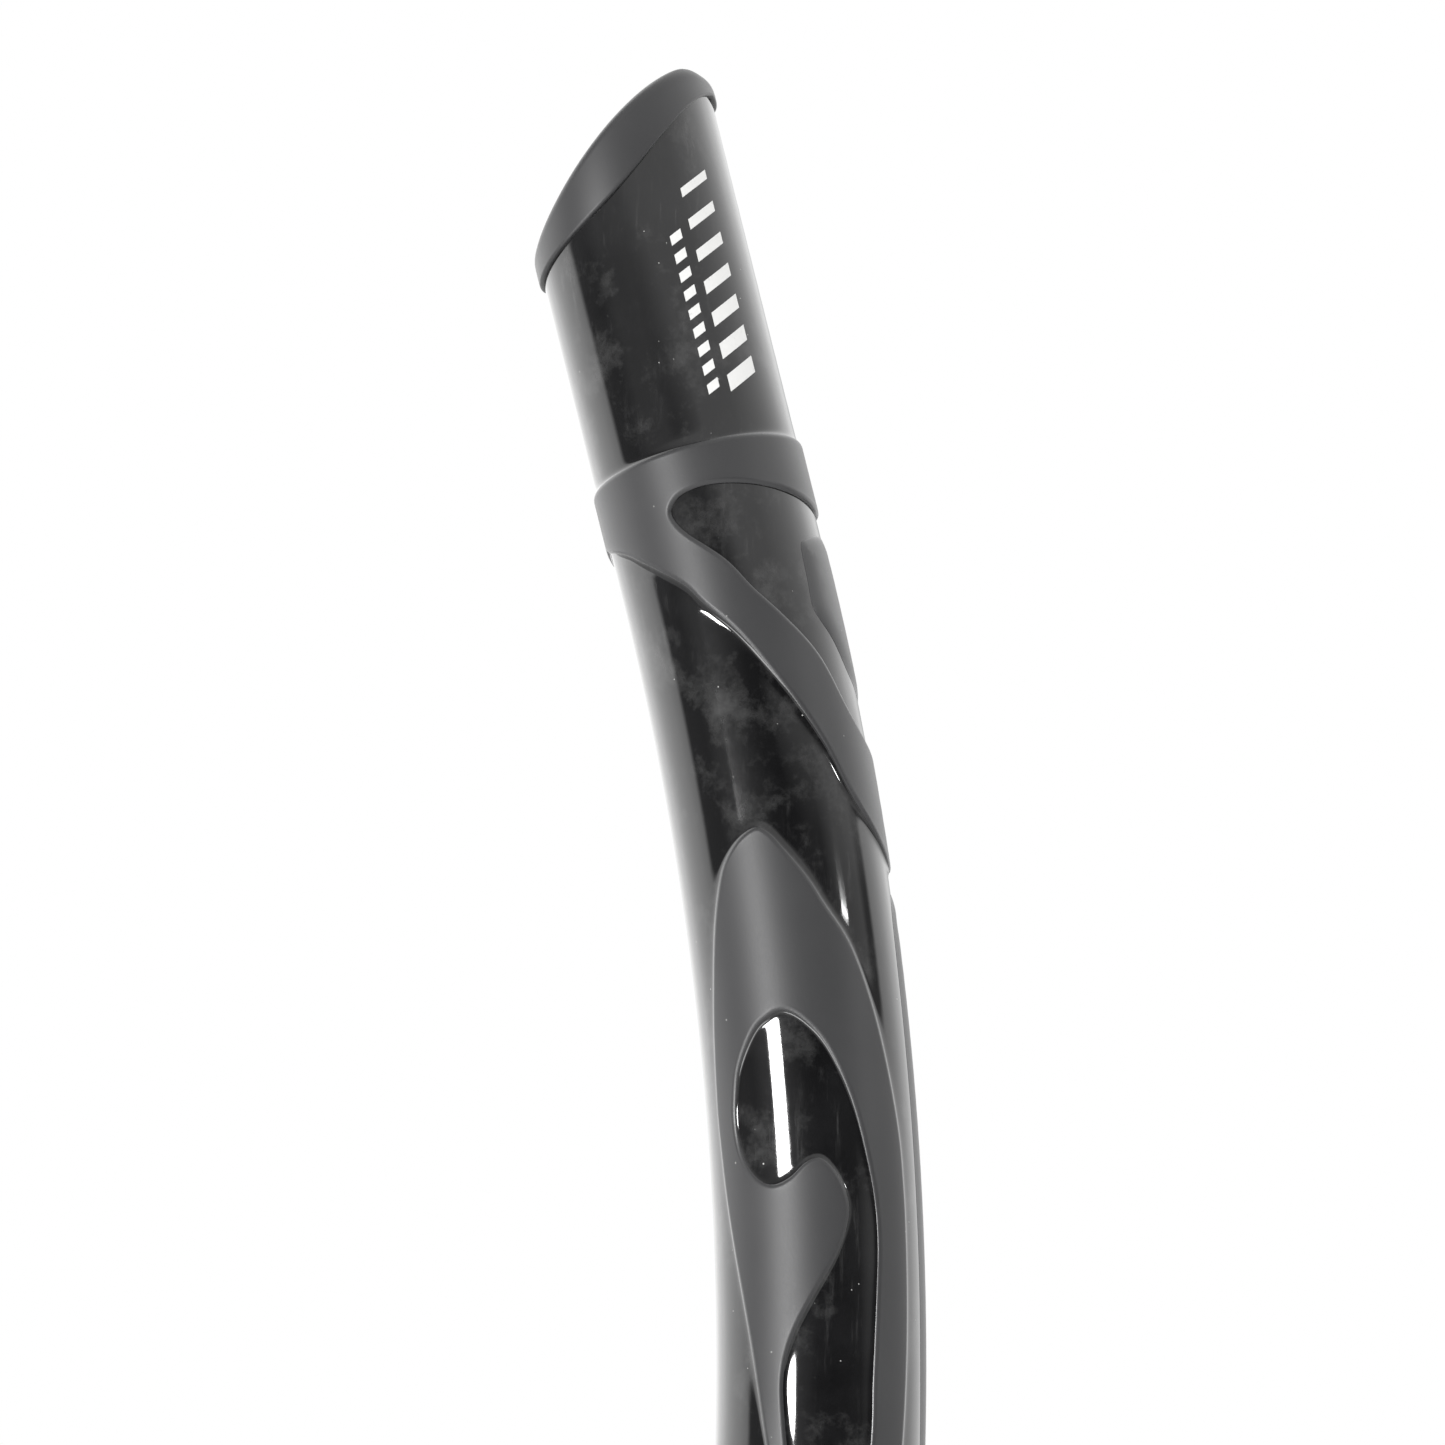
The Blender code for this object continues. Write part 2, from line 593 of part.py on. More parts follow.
def make_chamber_bands(axis):
    verts, faces = tag_band(TIE_IN, TIE_IN + BAND_THICK, TIE_WIDE, TIE_HEAD, BAND_HEAD_DEG)
    tie = [(x, y, z + TIE_X) for x, y, z in verts]
    add("mouthpiece_tie", *to_mouth((tie, faces)), axis, BLACK, 0.4)
    verts, faces = hose_clamp()
    clamp = [(x, y, z + HOSE_SPIGOT_START + HOSE_CUFF / 2) for x, y, z in verts]
    add("hose_clamp_lower", *to_hose((clamp, faces)), axis, BLACK, 0.4)


# ---------------------------------------------------------------- mask-strap keeper

def along_x(shape):
    """A shape about Z, laid down to point along +X."""
    verts, faces = shape
    return [(z, y, -x) for x, y, z in verts], faces


def along_y(shape, x=0.0, z=0.0):
    """A shape about Z, laid down to point along +Y through (x, z)."""
    verts, faces = shape
    return [(x + side, along, z + up) for side, up, along in verts], faces


def make_keeper(slider, clip):
    """The liner grips the barrel, the ring turns on the liner, and the rivet carries the clip."""
    liner = [(13.45, -10), (16.4, -10), (16.4, -8.4), (14.6, -8.4), (14.6, 8.4), (16.4, 8.4), (16.4, 10),
             (13.45, 10)]
    add("keeper_liner", *turned(liner, AROUND), slider, GREY, 0.7)
    ring = add("keeper_ring", *turned([(14.9, -8), (17, -8), (17, 8), (14.9, 8)], AROUND), slider, BLACK, 0.3)
    boss = along_x(rod(7.4, 15.6, 22.2))
    bore = along_x(rod(RIVET_HOLE_R, 10, 24, SMALL))
    sink = along_x(rod(4.5, 10, 18, SMALL))
    combine(ring, add("cutter_boss", *boss, clip), "UNION")
    combine(ring, add("cutter_rivet_bore", *bore, clip), "DIFFERENCE")
    combine(ring, add("cutter_rivet_sink", *sink, clip), "DIFFERENCE")
    rivet = [(4, 15.6), (4, 17.6), (2.1, 17.6), (2.1, 23.7), (3.8, 23.7), (3.8, CLIP_FLOOR - 0.1)]
    add("keeper_rivet", *along_x(turned(rivet, SMALL, closed=False)), clip, CLEAR, 0.3, 0.9)


def make_clip(clip, gate_axis):
    """A base plate with a sunk rivet hole, a lip, hinge ears and a gate. The strap runs along Y."""
    top = CLIP_FLOOR + CLIP_GAP
    low_x = CLIP_FLOOR - CLIP_PLATE
    wide = CLIP_WIDE / 2
    side = [(low_x, -CLIP_HALF), (CLIP_FLOOR, -CLIP_HALF), (CLIP_FLOOR, CLIP_HALF - 4.5),
            (top - 0.6, CLIP_HALF - 4.5), (top - 0.6, CLIP_HALF - 2), (low_x, CLIP_HALF - 2)]
    base = add("clip_base", *prism(side, -wide, wide), clip, BLACK, 0.3)
    ear = [(low_x + 0.5, -CLIP_HALF), (PIN_X + 2, -CLIP_HALF), (PIN_X + 2.4, PIN_Z),
           (PIN_X + 1.5, PIN_Z + 2.2), (PIN_X - 2, PIN_Z + 2.4), (low_x + 0.5, PIN_Z + 2.6)]
    tools = [
        ("near_ear", prism(ear, -wide, -wide + EAR_WIDE), "UNION"),
        ("far_ear", prism(ear, wide - EAR_WIDE, wide), "UNION"),
        ("pin_hole", along_y(rod(PIN_HOLE_R, -wide - 1, wide + 1, SMALL), PIN_X, PIN_Z), "DIFFERENCE"),
        ("base_bore", along_x(rod(RIVET_HOLE_R, low_x - 1, CLIP_FLOOR + 1, SMALL)), "DIFFERENCE"),
        ("base_sink", along_x(rod(4.1, 23.4, CLIP_FLOOR + 1, SMALL)), "DIFFERENCE"),
    ]
    for name, shape, operation in tools:
        combine(base, add("cutter_" + name, *shape, clip), operation)
    add("gate_pin", *along_y(rod(PIN_R, -wide + 0.2, wide - 0.2, SMALL)), gate_axis, CLEAR, 0.3, 0.9)
    make_gate(gate_axis, top)


def make_gate(gate_axis, top):
    """The bar is drawn from its pin: x outwards, z up along the clip."""
    x = top - PIN_X
    far = CLIP_HALF - PIN_Z
    wide = CLIP_WIDE / 2
    knuckle = wide - EAR_WIDE - 0.4
    bar = [(x, -1.5), (x + 2.2, -1.5), (x + 2.2, far), (x - 3, far), (x - 3.4, far - 1.5), (x, far - 1.6)]
    gate = add("clip_gate", *prism(bar, -knuckle, knuckle), gate_axis, BLACK, 0.3)
    hub = along_y(rod(HUB_R, -knuckle, knuckle, SMALL))
    bore = along_y(rod(PIN_HOLE_R, -wide, wide, SMALL))
    combine(gate, add("cutter_hub", *hub, gate_axis), "UNION")
    combine(gate, add("cutter_gate_bore", *bore, gate_axis), "DIFFERENCE")


# ---------------------------------------------------------------- assembly

def build():
    clear_scene()
    foot = empty("foot", place=(FOOT_X, 0, FOOT_Z))
    make_barrel(foot)
    make_top_rim(foot)
    make_overmoulds(foot)

    make_foot_cuff(foot)
    foot_axis = empty("foot_axis", foot, tilt=FOOT_LEAN)
    make_swivel(foot_axis)
    make_hose(foot)

    mid_x, mid_z, _ = hose_centre(HOSE_LENGTH / 2)
    hose_joint = empty("hose_joint", foot, (mid_x, 0, mid_z))
    end_x, end_z, lean = hose_centre(HOSE_LENGTH)
    tilt = math.radians(CHAMBER_TILT)
    down = HOSE_SPIGOT_START
    chamber_x = end_x - down * math.sin(lean) - SPIGOT_ROOT_Z * math.sin(tilt)
    chamber_z = end_z - down * math.cos(lean) - SPIGOT_ROOT_Z * math.cos(tilt)
    chamber = empty("chamber_axis", hose_joint, (chamber_x - mid_x, 0, chamber_z - mid_z), CHAMBER_TILT)
    make_chamber(chamber)
    make_purge(chamber)
    make_mouthpiece(chamber)
    make_chamber_bands(chamber)

    keeper_x, keeper_z, keeper_lean = centre(KEEPER_S)
    bend_x = -BEND_R * math.cos(math.radians(FOOT_LEAN))
    bend_z = BEND_R * math.sin(math.radians(FOOT_LEAN))
    bend = empty("bend_centre", foot, (bend_x, 0, bend_z))
    tilt = -math.degrees(keeper_lean)
    slider = empty("keeper_axis", bend, (keeper_x - bend_x, 0, keeper_z - bend_z), tilt)
    clip = empty("clip_axis", slider, turn=180)
    gate_axis = empty("gate_axis", clip, (PIN_X, 0, PIN_Z))
    make_keeper(slider, clip)
    make_clip(clip, gate_axis)


build()
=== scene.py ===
"""Looks for the snorkel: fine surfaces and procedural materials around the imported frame.

A place on the barrel is (s, a): s is the distance in millimetres along the centre line from the barrel's
foot, a is the angle round it in degrees, 0 facing the camera (-Y), 90 at the back and -90 at the mouth side.
Shapes are drawn in millimetres from the barrel's foot; piece() moves them to the frame, in metres."""

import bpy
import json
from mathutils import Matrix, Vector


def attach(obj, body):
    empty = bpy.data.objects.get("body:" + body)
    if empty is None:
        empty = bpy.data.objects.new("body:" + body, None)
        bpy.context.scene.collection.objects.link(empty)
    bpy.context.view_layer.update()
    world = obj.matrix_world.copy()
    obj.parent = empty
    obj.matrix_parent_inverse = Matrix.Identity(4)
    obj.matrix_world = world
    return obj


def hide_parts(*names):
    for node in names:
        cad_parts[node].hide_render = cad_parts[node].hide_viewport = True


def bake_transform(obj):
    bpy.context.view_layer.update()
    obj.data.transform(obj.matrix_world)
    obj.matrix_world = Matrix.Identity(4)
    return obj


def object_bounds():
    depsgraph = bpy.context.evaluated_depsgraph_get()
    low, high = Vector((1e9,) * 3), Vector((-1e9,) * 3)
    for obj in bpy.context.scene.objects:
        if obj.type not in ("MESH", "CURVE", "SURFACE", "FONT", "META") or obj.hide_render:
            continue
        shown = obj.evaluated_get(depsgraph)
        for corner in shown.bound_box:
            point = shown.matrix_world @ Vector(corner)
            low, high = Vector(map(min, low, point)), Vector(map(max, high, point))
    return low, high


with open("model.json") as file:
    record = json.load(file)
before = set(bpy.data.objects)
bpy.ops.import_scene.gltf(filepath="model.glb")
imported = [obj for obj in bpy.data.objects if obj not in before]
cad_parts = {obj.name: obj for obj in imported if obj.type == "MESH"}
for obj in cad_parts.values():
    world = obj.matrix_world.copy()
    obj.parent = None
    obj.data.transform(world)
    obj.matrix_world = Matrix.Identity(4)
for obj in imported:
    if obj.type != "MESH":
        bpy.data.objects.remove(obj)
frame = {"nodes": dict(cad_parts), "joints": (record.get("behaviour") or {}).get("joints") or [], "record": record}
CAD_BOX = [list(corner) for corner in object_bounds()]

import json
import math

import bmesh
import bpy
import numpy as np
from mathutils import Matrix, Vector, geometry
from mathutils.bvhtree import BVHTree

MM = 0.001
JOINTS = {joint["name"]: joint for joint in frame["joints"]}
MOUNTS = {mount["name"]: mount for mount in frame["record"]["mounts"]}

# Barrel, as in the frame
BARREL_R = 13.0
BORE_R = 11.0
BEND_R = 410.0
FOOT_LEAN = math.radians(16)
TOP_LEAN = math.radians(14)
BEND_END = BEND_R * (FOOT_LEAN + TOP_LEAN)

# Swivel, hose and purge chamber, as in the frame
NIPPLE_R = 10.4
NIPPLE_BORE_R = 8.4
HOSE_START = 5.6
HOSE_CUFF = 10.0
HOSE_CUFF_R = 12.6
HOSE_PITCH = 5.0
HOSE_FOLDS = 8
HOSE_CREST_R = 13.6
HOSE_ROOT_R = 11.9
HOSE_WALL = 1.2
HOSE_END_LEAN = math.radians(50)
HOSE_BEND = HOSE_FOLDS * HOSE_PITCH
HOSE_LENGTH = 2 * HOSE_CUFF + HOSE_BEND
HOSE_TIE = (HOSE_CUFF_R + 0.06, 1.34, 4.5)  # inner radius, thickness and width
CHAMBER_R = 18.0
CHAMBER_TOP = 14.0
CHAMBER_RIM = -10.0
COVER_LOW = -13.0
SPIGOT_LEAN = math.radians(40)
SPIGOT_ROOT_Z = 3.0
SPIGOT_START = 21.0
MOUTH_Z = 3.5

# Strap clip, as in the frame
CLIP_FLOOR = 25.1
CLIP_TOP = 32.1
CLIP_HALF = 18.0
CLIP_WIDE = 22.0
PIN_X = 30.1
PIN_Z = -15.6

# Skins over the barrel's core: gloss swells a little towards the line where it meets raised rubber
CORE_R = 12.45
SKIN_LOW = 12.52
MEET_R = 13.25
SWELL = 0.30  # how far from the line the gloss starts to rise
HOOK_SWELL = 0.22  # the same inside the side panels' windows, where the gloss rises less
HOOK_RISE = 0.17
RUBBER_R = 13.5
RUBBER_ROUND = 0.6  # width of the rubber's rounded edge
LOW_RUBBER_R = 13.35  # the patch and the spine rise softly from the gloss
LOW_RUBBER_ROUND = 2.6
EDGE_WEAR = 0.35  # width of the smoother strip along a rubber edge
INK_RISE = (0.004, 0.03)  # lower and upper face of the print, above the gloss
GLOSS_CELL = 1.6  # spacing of a skin's points away from its edges
RUBBER_CELL = 1.5
COLLAR_TOP = 228.0
FLAT_R = 13.4  # radius at which outlines are laid flat
TURN = 2 * math.pi * FLAT_R
SKIN_FOOT = 6.0  # lower end of the gloss skin, inside the foot cuff
RINGS = (0.05, 0.12, 0.19, 0.26, 0.34, 0.46, 0.62, 0.85, 1.2, 1.8)  # depths with extra points in a skin


# ---------------------------------------------------------------- surfaces

def skin(rings, closed):
    """Quads between rings of equal length. Closed joins the last ring to the first; otherwise both ends
    are capped."""
    count = len(rings[0])
    verts = [p for ring in rings for p in ring]
    faces = []
    for i in range(len(rings) if closed else len(rings) - 1):
        low = i * count
        high = (i + 1) % len(rings) * count
        for j in range(count):
            k = (j + 1) % count
            faces.append((low + j, low + k, high + k, high + j))
    if not closed:
        faces.append(tuple(range(count)))
        faces.append(tuple(range(len(verts) - count, len(verts))))
    return verts, faces


def fillet(profile, radius, steps=5, closed=True):
    """A profile with its corners rounded, by a radius or one radius per corner; an open one keeps its
    ends."""
    count = len(profile)
    radii = radius if isinstance(radius, (list, tuple)) else [radius] * count
    out = []
    for i, r in enumerate(radii):
        p = Vector(profile[i])
        back = Vector(profile[i - 1]) - p
        ahead = Vector(profile[(i + 1) % count]) - p
        if r == 0 or not closed and i in (0, count - 1):
            out.append(tuple(p))
            continue
        half = back.angle(ahead) / 2
        reach = min(r / math.tan(half), back.length * 0.49, ahead.length * 0.49)
        start = p + back.normalized() * reach
        end = p + ahead.normalized() * reach
        for k in range(steps + 1):
            t = k / steps
            out.append(tuple((1 - t) ** 2 * start + 2 * t * (1 - t) * p + t * t * end))
    return out


def turns(count):
    return [2 * math.pi * i / count for i in range(count)]


def turned(profile, count=96, closed=True):
    """A profile of (radius, z) points turned about Z."""
    return skin([[(r * math.cos(t), r * math.sin(t), z) for t in turns(count)] for r, z in profile], closed)


def centre(s):
    """Centre line point (x, z) from the foot, and the lean there in radians, + towards -X going up."""
    along = min(max(s, 0), BEND_END)
    lean = along / BEND_R - FOOT_LEAN
    x = BEND_R * (math.cos(lean) - math.cos(FOOT_LEAN))
    z = BEND_R * (math.sin(lean) + math.sin(FOOT_LEAN))
    return x - (s - along) * math.sin(lean), z + (s - along) * math.cos(lean), lean


def on_barrel(s, a, radius):
    x, z, lean = centre(s)
    turn = math.radians(a)
    out = radius * math.sin(turn)
    return x + out * math.cos(lean), -radius * math.cos(turn), z + out * math.sin(lean)


def smooth(points, step):
    """A smooth run through the points, sampled about every step along it; both ends are included."""
    pts = [Vector(p) for p in points]
    pts = [2 * pts[0] - pts[1], *pts, 2 * pts[-1] - pts[-2]]
    out = []
    for p0, p1, p2, p3 in zip(pts, pts[1:], pts[2:], pts[3:]):
        steps = max(1, round((p2 - p1).length / step))
        for k in range(steps):
            t = k / steps
            bend = 2 * p0 - 5 * p1 + 4 * p2 - p3
            twist = 3 * p1 - p0 - 3 * p2 + p3
            out.append((2 * p1 + (p2 - p0) * t + bend * t * t + twist * t ** 3) / 2)
    return [tuple(p) for p in out] + [tuple(pts[-2])]


def closed_lines(loops):
    return [loop + loop[:1] for loop in loops]


def segments(lines):
    for line in lines:
        for p, q in zip(line, line[1:]):
            yield p, q


def inside(points, loops):
    """True for each point inside an odd number of the closed loops."""
    odd = np.zeros(len(points), bool)
    for (x0, y0), (x1, y1) in segments(closed_lines(loops)):
        if y0 == y1:
            continue
        crosses = (points[:, 1] < y0) != (points[:, 1] < y1)
        odd ^= crosses & (points[:, 0] < x0 + (points[:, 1] - y0) * (x1 - x0) / (y1 - y0))
    return odd


def clearance(points, lines):
    """Distance from each flat point to the nearest line. Each piece of line is the lower edge of a triangle
    that stands on the plane, so the nearest point of the triangles is on the lines."""
    verts = []
    for p, q in segments(lines):
        verts += [(*p, 0), (*q, 0), ((p[0] + q[0]) / 2, (p[1] + q[1]) / 2, 1)]
    tree = BVHTree.FromPolygons(verts, [(i, i + 1, i + 2) for i in range(0, len(verts), 3)])
    return np.array([tree.find_nearest((x, y, 0))[3] for x, y in points])


def inset_points(loops, lines, depth):
    """Points along the loops' inner side at a depth from the edge lines."""
    out = []
    for loop in loops:
        pts = np.array(loop)
        run = np.roll(pts, -1, axis=0) - np.roll(pts, 1, axis=0)
        side = np.stack([run[:, 1], -run[:, 0]], axis=1) / np.maximum(np.hypot(*run.T), 1e-9)[:, None]
        out += [pts + side * depth, pts - side * depth]
    out = np.vstack(out)
    return out[inside(out, loops) & (clearance(out, lines) > 0.93 * depth)]


def sheet(loops, lines, rings, cell, wrap=None):
    """Flat triangles inside closed loops, with extra points at the given depths from the edge lines and a
    grid inside. With wrap, x repeats. Returns points and triangles."""
    corners = np.vstack([np.array(loop) for loop in loops])
    lo = corners.min(axis=0)
    hi = corners.max(axis=0)
    xs = np.arange(lo[0], hi[0], cell)
    ys = np.arange(lo[1], hi[1], cell)
    grid = np.array([(x + (j % 2) * cell / 2, y) for j, y in enumerate(ys) for x in xs])
    grid = grid[inside(grid, loops)]
    grid = grid[clearance(grid, closed_lines(loops)) > 0.6 * cell]
    grid = grid[clearance(grid, lines) > rings[-1] + 0.35 * cell]
    extra = [inset_points(loops, lines, depth) for depth in rings]
    extra = [e[clearance(e, closed_lines(loops)) > 0.02] for e in extra]
    points = np.vstack([corners] + extra + [grid])
    edges = []
    first = 0
    for loop in loops:
        edges += [(first + i, first + (i + 1) % len(loop)) for i in range(len(loop))]
        first += len(loop)
    cdt = geometry.delaunay_2d_cdt([Vector(p) for p in points], edges, [], 0, 1e-4)
    points = np.array(cdt[0])
    tris = np.array(cdt[2])
    tris = tris[inside(points[tris].mean(axis=1), loops)]
    seen = {}
    same = []
    for x, y in points:
        key = (round((x - lo[0]) % wrap, 3) if wrap else round(x, 4), round(y, 4))
        same.append(seen.setdefault(key, len(seen)))
    kept = {index: points[i] for i, index in reversed(list(enumerate(same)))}
    tris = [tuple(same[i] for i in t) for t in tris]
    used = sorted({i for t in tris for i in t})
    row = {old: new for new, old in enumerate(used)}
    return np.array([kept[i] for i in used]), [tuple(row[i] for i in t) for t in tris]


def thick(points, tris, low, high):
    """A closed solid from flat triangles; low and high are each point's place underneath and on top."""
    verts = [tuple(v) for v in low] + [tuple(v) for v in high]
    shift = len(points)
    faces = [tuple(reversed(t)) for t in tris] + [tuple(i + shift for i in t) for t in tris]
    sides = {}
    for t in tris:
        for edge in zip(t, t[1:] + t[:1]):
            sides[frozenset(edge)] = None if frozenset(edge) in sides else edge
    return verts, faces + [(p, q, q + shift, p + shift) for p, q in filter(None, sides.values())]


def on_barrel_all(points, radius):
    """Places on the barrel for flat points, at one radius or one for each, as an array."""
    radii = np.broadcast_to(radius, len(points))
    return np.array([on_barrel(y, math.degrees(x / FLAT_R), r) for (x, y), r in zip(points, radii)])


def barrel_skin(loops, lines, profile, cell=GLOSS_CELL, wrap=None):
    """A skin on the barrel inside closed flat loops. Its radius is profile(depth from the edge lines), and
    its normals are worked out from that rule, so that reflections run clean over the triangles. The last
    item is 1 at the edge lines and falls to 0 inside."""
    places, tris = sheet(loops, lines, RINGS, cell, wrap)
    left = min(x for x, _ in loops[0])

    def depth_at(points):
        if wrap:
            points = np.stack([left + (points[:, 0] - left) % wrap, points[:, 1]], axis=1)
        away = clearance(points, lines)
        return np.where(inside(points, loops), away, -away)

    step = 0.03
    here = np.maximum(clearance(places, lines), 0)
    high = on_barrel_all(places, profile(here))
    slope = (profile(np.maximum(here, step) + step / 2) - profile(np.maximum(here, step) - step / 2)) / step
    side = np.array((step, 0))
    up = np.array((0, step))
    slope_x = slope * (depth_at(places + side) - depth_at(places - side)) / (2 * step)
    slope_y = slope * (depth_at(places + up) - depth_at(places - up)) / (2 * step)
    radius = profile(here)
    tangent_x = on_barrel_all(places + side, radius + slope_x * step) - high
    tangent_y = on_barrel_all(places + up, radius + slope_y * step) - high
    normals = np.cross(tangent_x, tangent_y)
    normals /= np.linalg.norm(normals, axis=1)[:, None]
    verts, faces = thick(places, tris, on_barrel_all(places, SKIN_LOW), high)
    edge = np.concatenate([np.zeros(len(places)), np.exp(-here / EDGE_WEAR)])
    return verts, faces, [(0, 0, 0)] * len(places) + [tuple(n) for n in normals], edge


def joined(shapes):
    """Several closed shapes as one, each with or without normals of its own."""
    verts, faces, normals = [], [], []
    for shape in shapes:
        faces += [tuple(i + len(verts) for i in f) for f in shape[1]]
        normals += shape[2] if len(shape) > 2 else [(0, 0, 0)] * len(shape[0])
        verts += shape[0]
    return verts, faces, normals


# ---------------------------------------------------------------- placing and moulding

def placement(pos_m, z_axis):
    """Millimetre placement at a point with +Z along an axis in the XZ plane and +Y as the scene's."""
    z = Vector(z_axis).normalized()
    y = Vector((0, 1, 0))
    turn = Matrix((y.cross(z), y, z)).transposed()
    return Matrix.Translation(Vector(pos_m) / MM) @ turn.to_4x4()


FOOT_POS = JOINTS["mouthpiece_swivel"]["pos_m"]
FOOT = placement(FOOT_POS, (0, 0, 1))
SWIVEL = placement(FOOT_POS, JOINTS["mouthpiece_swivel"]["axis"])
PURGE_UP = -Vector(MOUNTS["purge_face"]["axis"])
PURGE_FACE = placement(MOUNTS["purge_face"]["pos_m"], PURGE_UP)
CHAMBER = PURGE_FACE @ Matrix.Translation((0, 0, -COVER_LOW))
KEEPER = placement(JOINTS["keeper_turn"]["pos_m"], JOINTS["keeper_turn"]["axis"])
HALF_TURN = Matrix.Rotation(math.pi, 4, "Z")
CLIP = KEEPER @ HALF_TURN
GATE = placement(JOINTS["clip_gate"]["pos_m"], JOINTS["keeper_turn"]["axis"]) @ HALF_TURN


def moved(shape, place):
    verts, faces = shape
    return [tuple(place @ Vector(v)) for v in verts], faces


def rod(radius, low, high, edge=0.25, count=64):
    """A shaft along Z with rounded ends."""
    profile = [(radius - edge, low), (radius, low), (radius, high), (radius - edge, high)]
    return turned(fillet(profile, edge * 0.99, closed=False), count, closed=False)


ALONG_X = Matrix.Rotation(math.pi / 2, 4, "Y")
ALONG_Y = Matrix.Rotation(-math.pi / 2, 4, "X")
TO_MOUTH = Matrix.Translation((0, 0, MOUTH_Z)) @ Matrix.Rotation(-math.pi / 2, 4, "Y")
TO_HOSE = Matrix.Translation((0, 0, SPIGOT_ROOT_Z)) @ Matrix.Rotation(SPIGOT_LEAN, 4, "Y")


def prism(outline, y_low, y_high):
    """An (x, z) outline extruded along Y."""
    return skin([[(x, y, z) for x, z in outline] for y in (y_low, y_high)], False)


def raw_object(name, verts, faces):
    """A closed mesh in its own units, faces turned outwards."""
    mesh = bpy.data.meshes.new(name)
    mesh.from_pydata([tuple(v) for v in verts], [], faces)
    work = bmesh.new()
    work.from_mesh(mesh)
    bmesh.ops.recalc_face_normals(work, faces=work.faces)
    work.to_mesh(mesh)
    work.free()
    obj = bpy.data.objects.new(name, mesh)
    bpy.context.scene.collection.objects.link(obj)
    return obj


def moulded(base, added, cut, voxel, rounds):
    """Shapes added to a base and cut from it, remeshed evenly in millimetres and eased, so that its edges
    and joins become small fillets."""
    body = raw_object("moulding", *base)
    tools = []
    for operation, shapes in (("UNION", added), ("DIFFERENCE", cut)):
        for shape in shapes:
            tool = raw_object("moulding_tool", *shape)
            tools.append(tool)
            boolean = body.modifiers.new("boolean", "BOOLEAN")
            boolean.object = tool
            boolean.operation = operation
    remesh = body.modifiers.new("remesh", "REMESH")
    remesh.mode = "VOXEL"
    remesh.voxel_size = voxel
    ease = body.modifiers.new("ease", "SMOOTH")
    ease.factor = 0.5
    ease.iterations = rounds
    bpy.context.view_layer.update()
    result = body.evaluated_get(bpy.context.evaluated_depsgraph_get()).to_mesh()
    verts = [tuple(v.co) for v in result.vertices]
    faces = [tuple(f.vertices) for f in result.polygons]
    for obj in [body] + tools:
        mesh = obj.data
        bpy.data.objects.remove(obj)
        bpy.data.meshes.remove(mesh)
    return verts, faces


def piece(name, shape, body, nodes, finish, place=FOOT, sharp=40):
    """One visible piece: millimetre points in a placement, riding on a body in place of CAD nodes."""
    verts, faces = moved(shape[:2], Matrix.Scale(MM, 4) @ place)
    obj = raw_object(name, verts, faces)
    obj.data.shade_smooth()
    obj.data.set_sharp_from_angle(angle=math.radians(sharp))
    if len(shape) > 2:
        obj.data.normals_split_custom_set_from_vertices(shape[2])
    if len(shape) > 3:
        obj.data.attributes.new("edge", "FLOAT", "POINT").data.foreach_set("value", shape[3])
    obj.data.materials.append(finish)
    if body:
        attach(obj, body)
    if nodes:
        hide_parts(*nodes)
    return obj


# ---------------------------------------------------------------- materials

def new_material(name):
    mat = bpy.data.materials.new(name)
    mat.use_nodes = True
    return mat, mat.node_tree, mat.node_tree.nodes["Principled BSDF"]


def feed(made, **values):
    """Sets a node's inputs by name, or by number as I0 or I1; a value that is an output socket is linked."""
    for key, value in values.items():
        numbered = key[0] == "I" and key[1:].isdigit()
        socket = made.inputs[int(key[1:]) if numbered else key.replace("_", " ")]
        if isinstance(value, bpy.types.NodeSocket):
            made.id_data.links.new(value, socket)
        else:
            socket.default_value = value


def node(tree, kind, **values):
    """A node with its settings, in small letters, and its inputs."""
    made = tree.nodes.new(kind)
    for key in [key for key in values if key[0].islower()]:
        setattr(made, key, values.pop(key))
    feed(made, **values)
    return made


def math_node(tree, operation, a, b=0.0, c=0.0):
    return node(tree, "ShaderNodeMath", operation=operation, I0=a, I1=b, I2=c).outputs[0]


def position(tree):
    return node(tree, "ShaderNodeNewGeometry").outputs["Position"]


def noise(tree, scale, detail=3.0, rough=0.55, stretch=None):
    """Noise in space, in features to the metre; stretch gives its scale along X, Y and Z."""
    coords = position(tree)
    if stretch:
        coords = node(tree, "ShaderNodeMapping", Vector=coords, Scale=stretch).outputs[0]
    made = node(tree, "ShaderNodeTexNoise", Vector=coords, Scale=scale, Detail=detail, Roughness=rough)
    return made.outputs["Fac"]


def spread(tree, value, low, high, to_low=0.0, to_high=1.0):
    made = node(tree, "ShaderNodeMapRange", Value=value, From_Min=low, From_Max=high, To_Min=to_low,
                To_Max=to_high)
    return made.outputs["Result"]


def specks(tree, scale, size, share):
    """1 in sparse round dust specks, 0 elsewhere."""
    cells = node(tree, "ShaderNodeTexVoronoi", Vector=position(tree), Scale=scale)
    near = math_node(tree, "LESS_THAN", cells.outputs["Distance"], size)
    pick = node(tree, "ShaderNodeSeparateColor", Color=cells.outputs["Color"]).outputs["Red"]
    return math_node(tree, "MULTIPLY", near, math_node(tree, "LESS_THAN", pick, share))


def grey(value, blue=0.0):
    """A grey with a little more or less blue."""
    return value, value, value + blue


def mix_color(tree, factor, a, b):
    """From a, a colour or a socket, to the colour b."""
    first = (*a, 1) if isinstance(a, tuple) else a
    return node(tree, "ShaderNodeMix", data_type="RGBA", I0=factor, I6=first, I7=(*b, 1)).outputs[2]


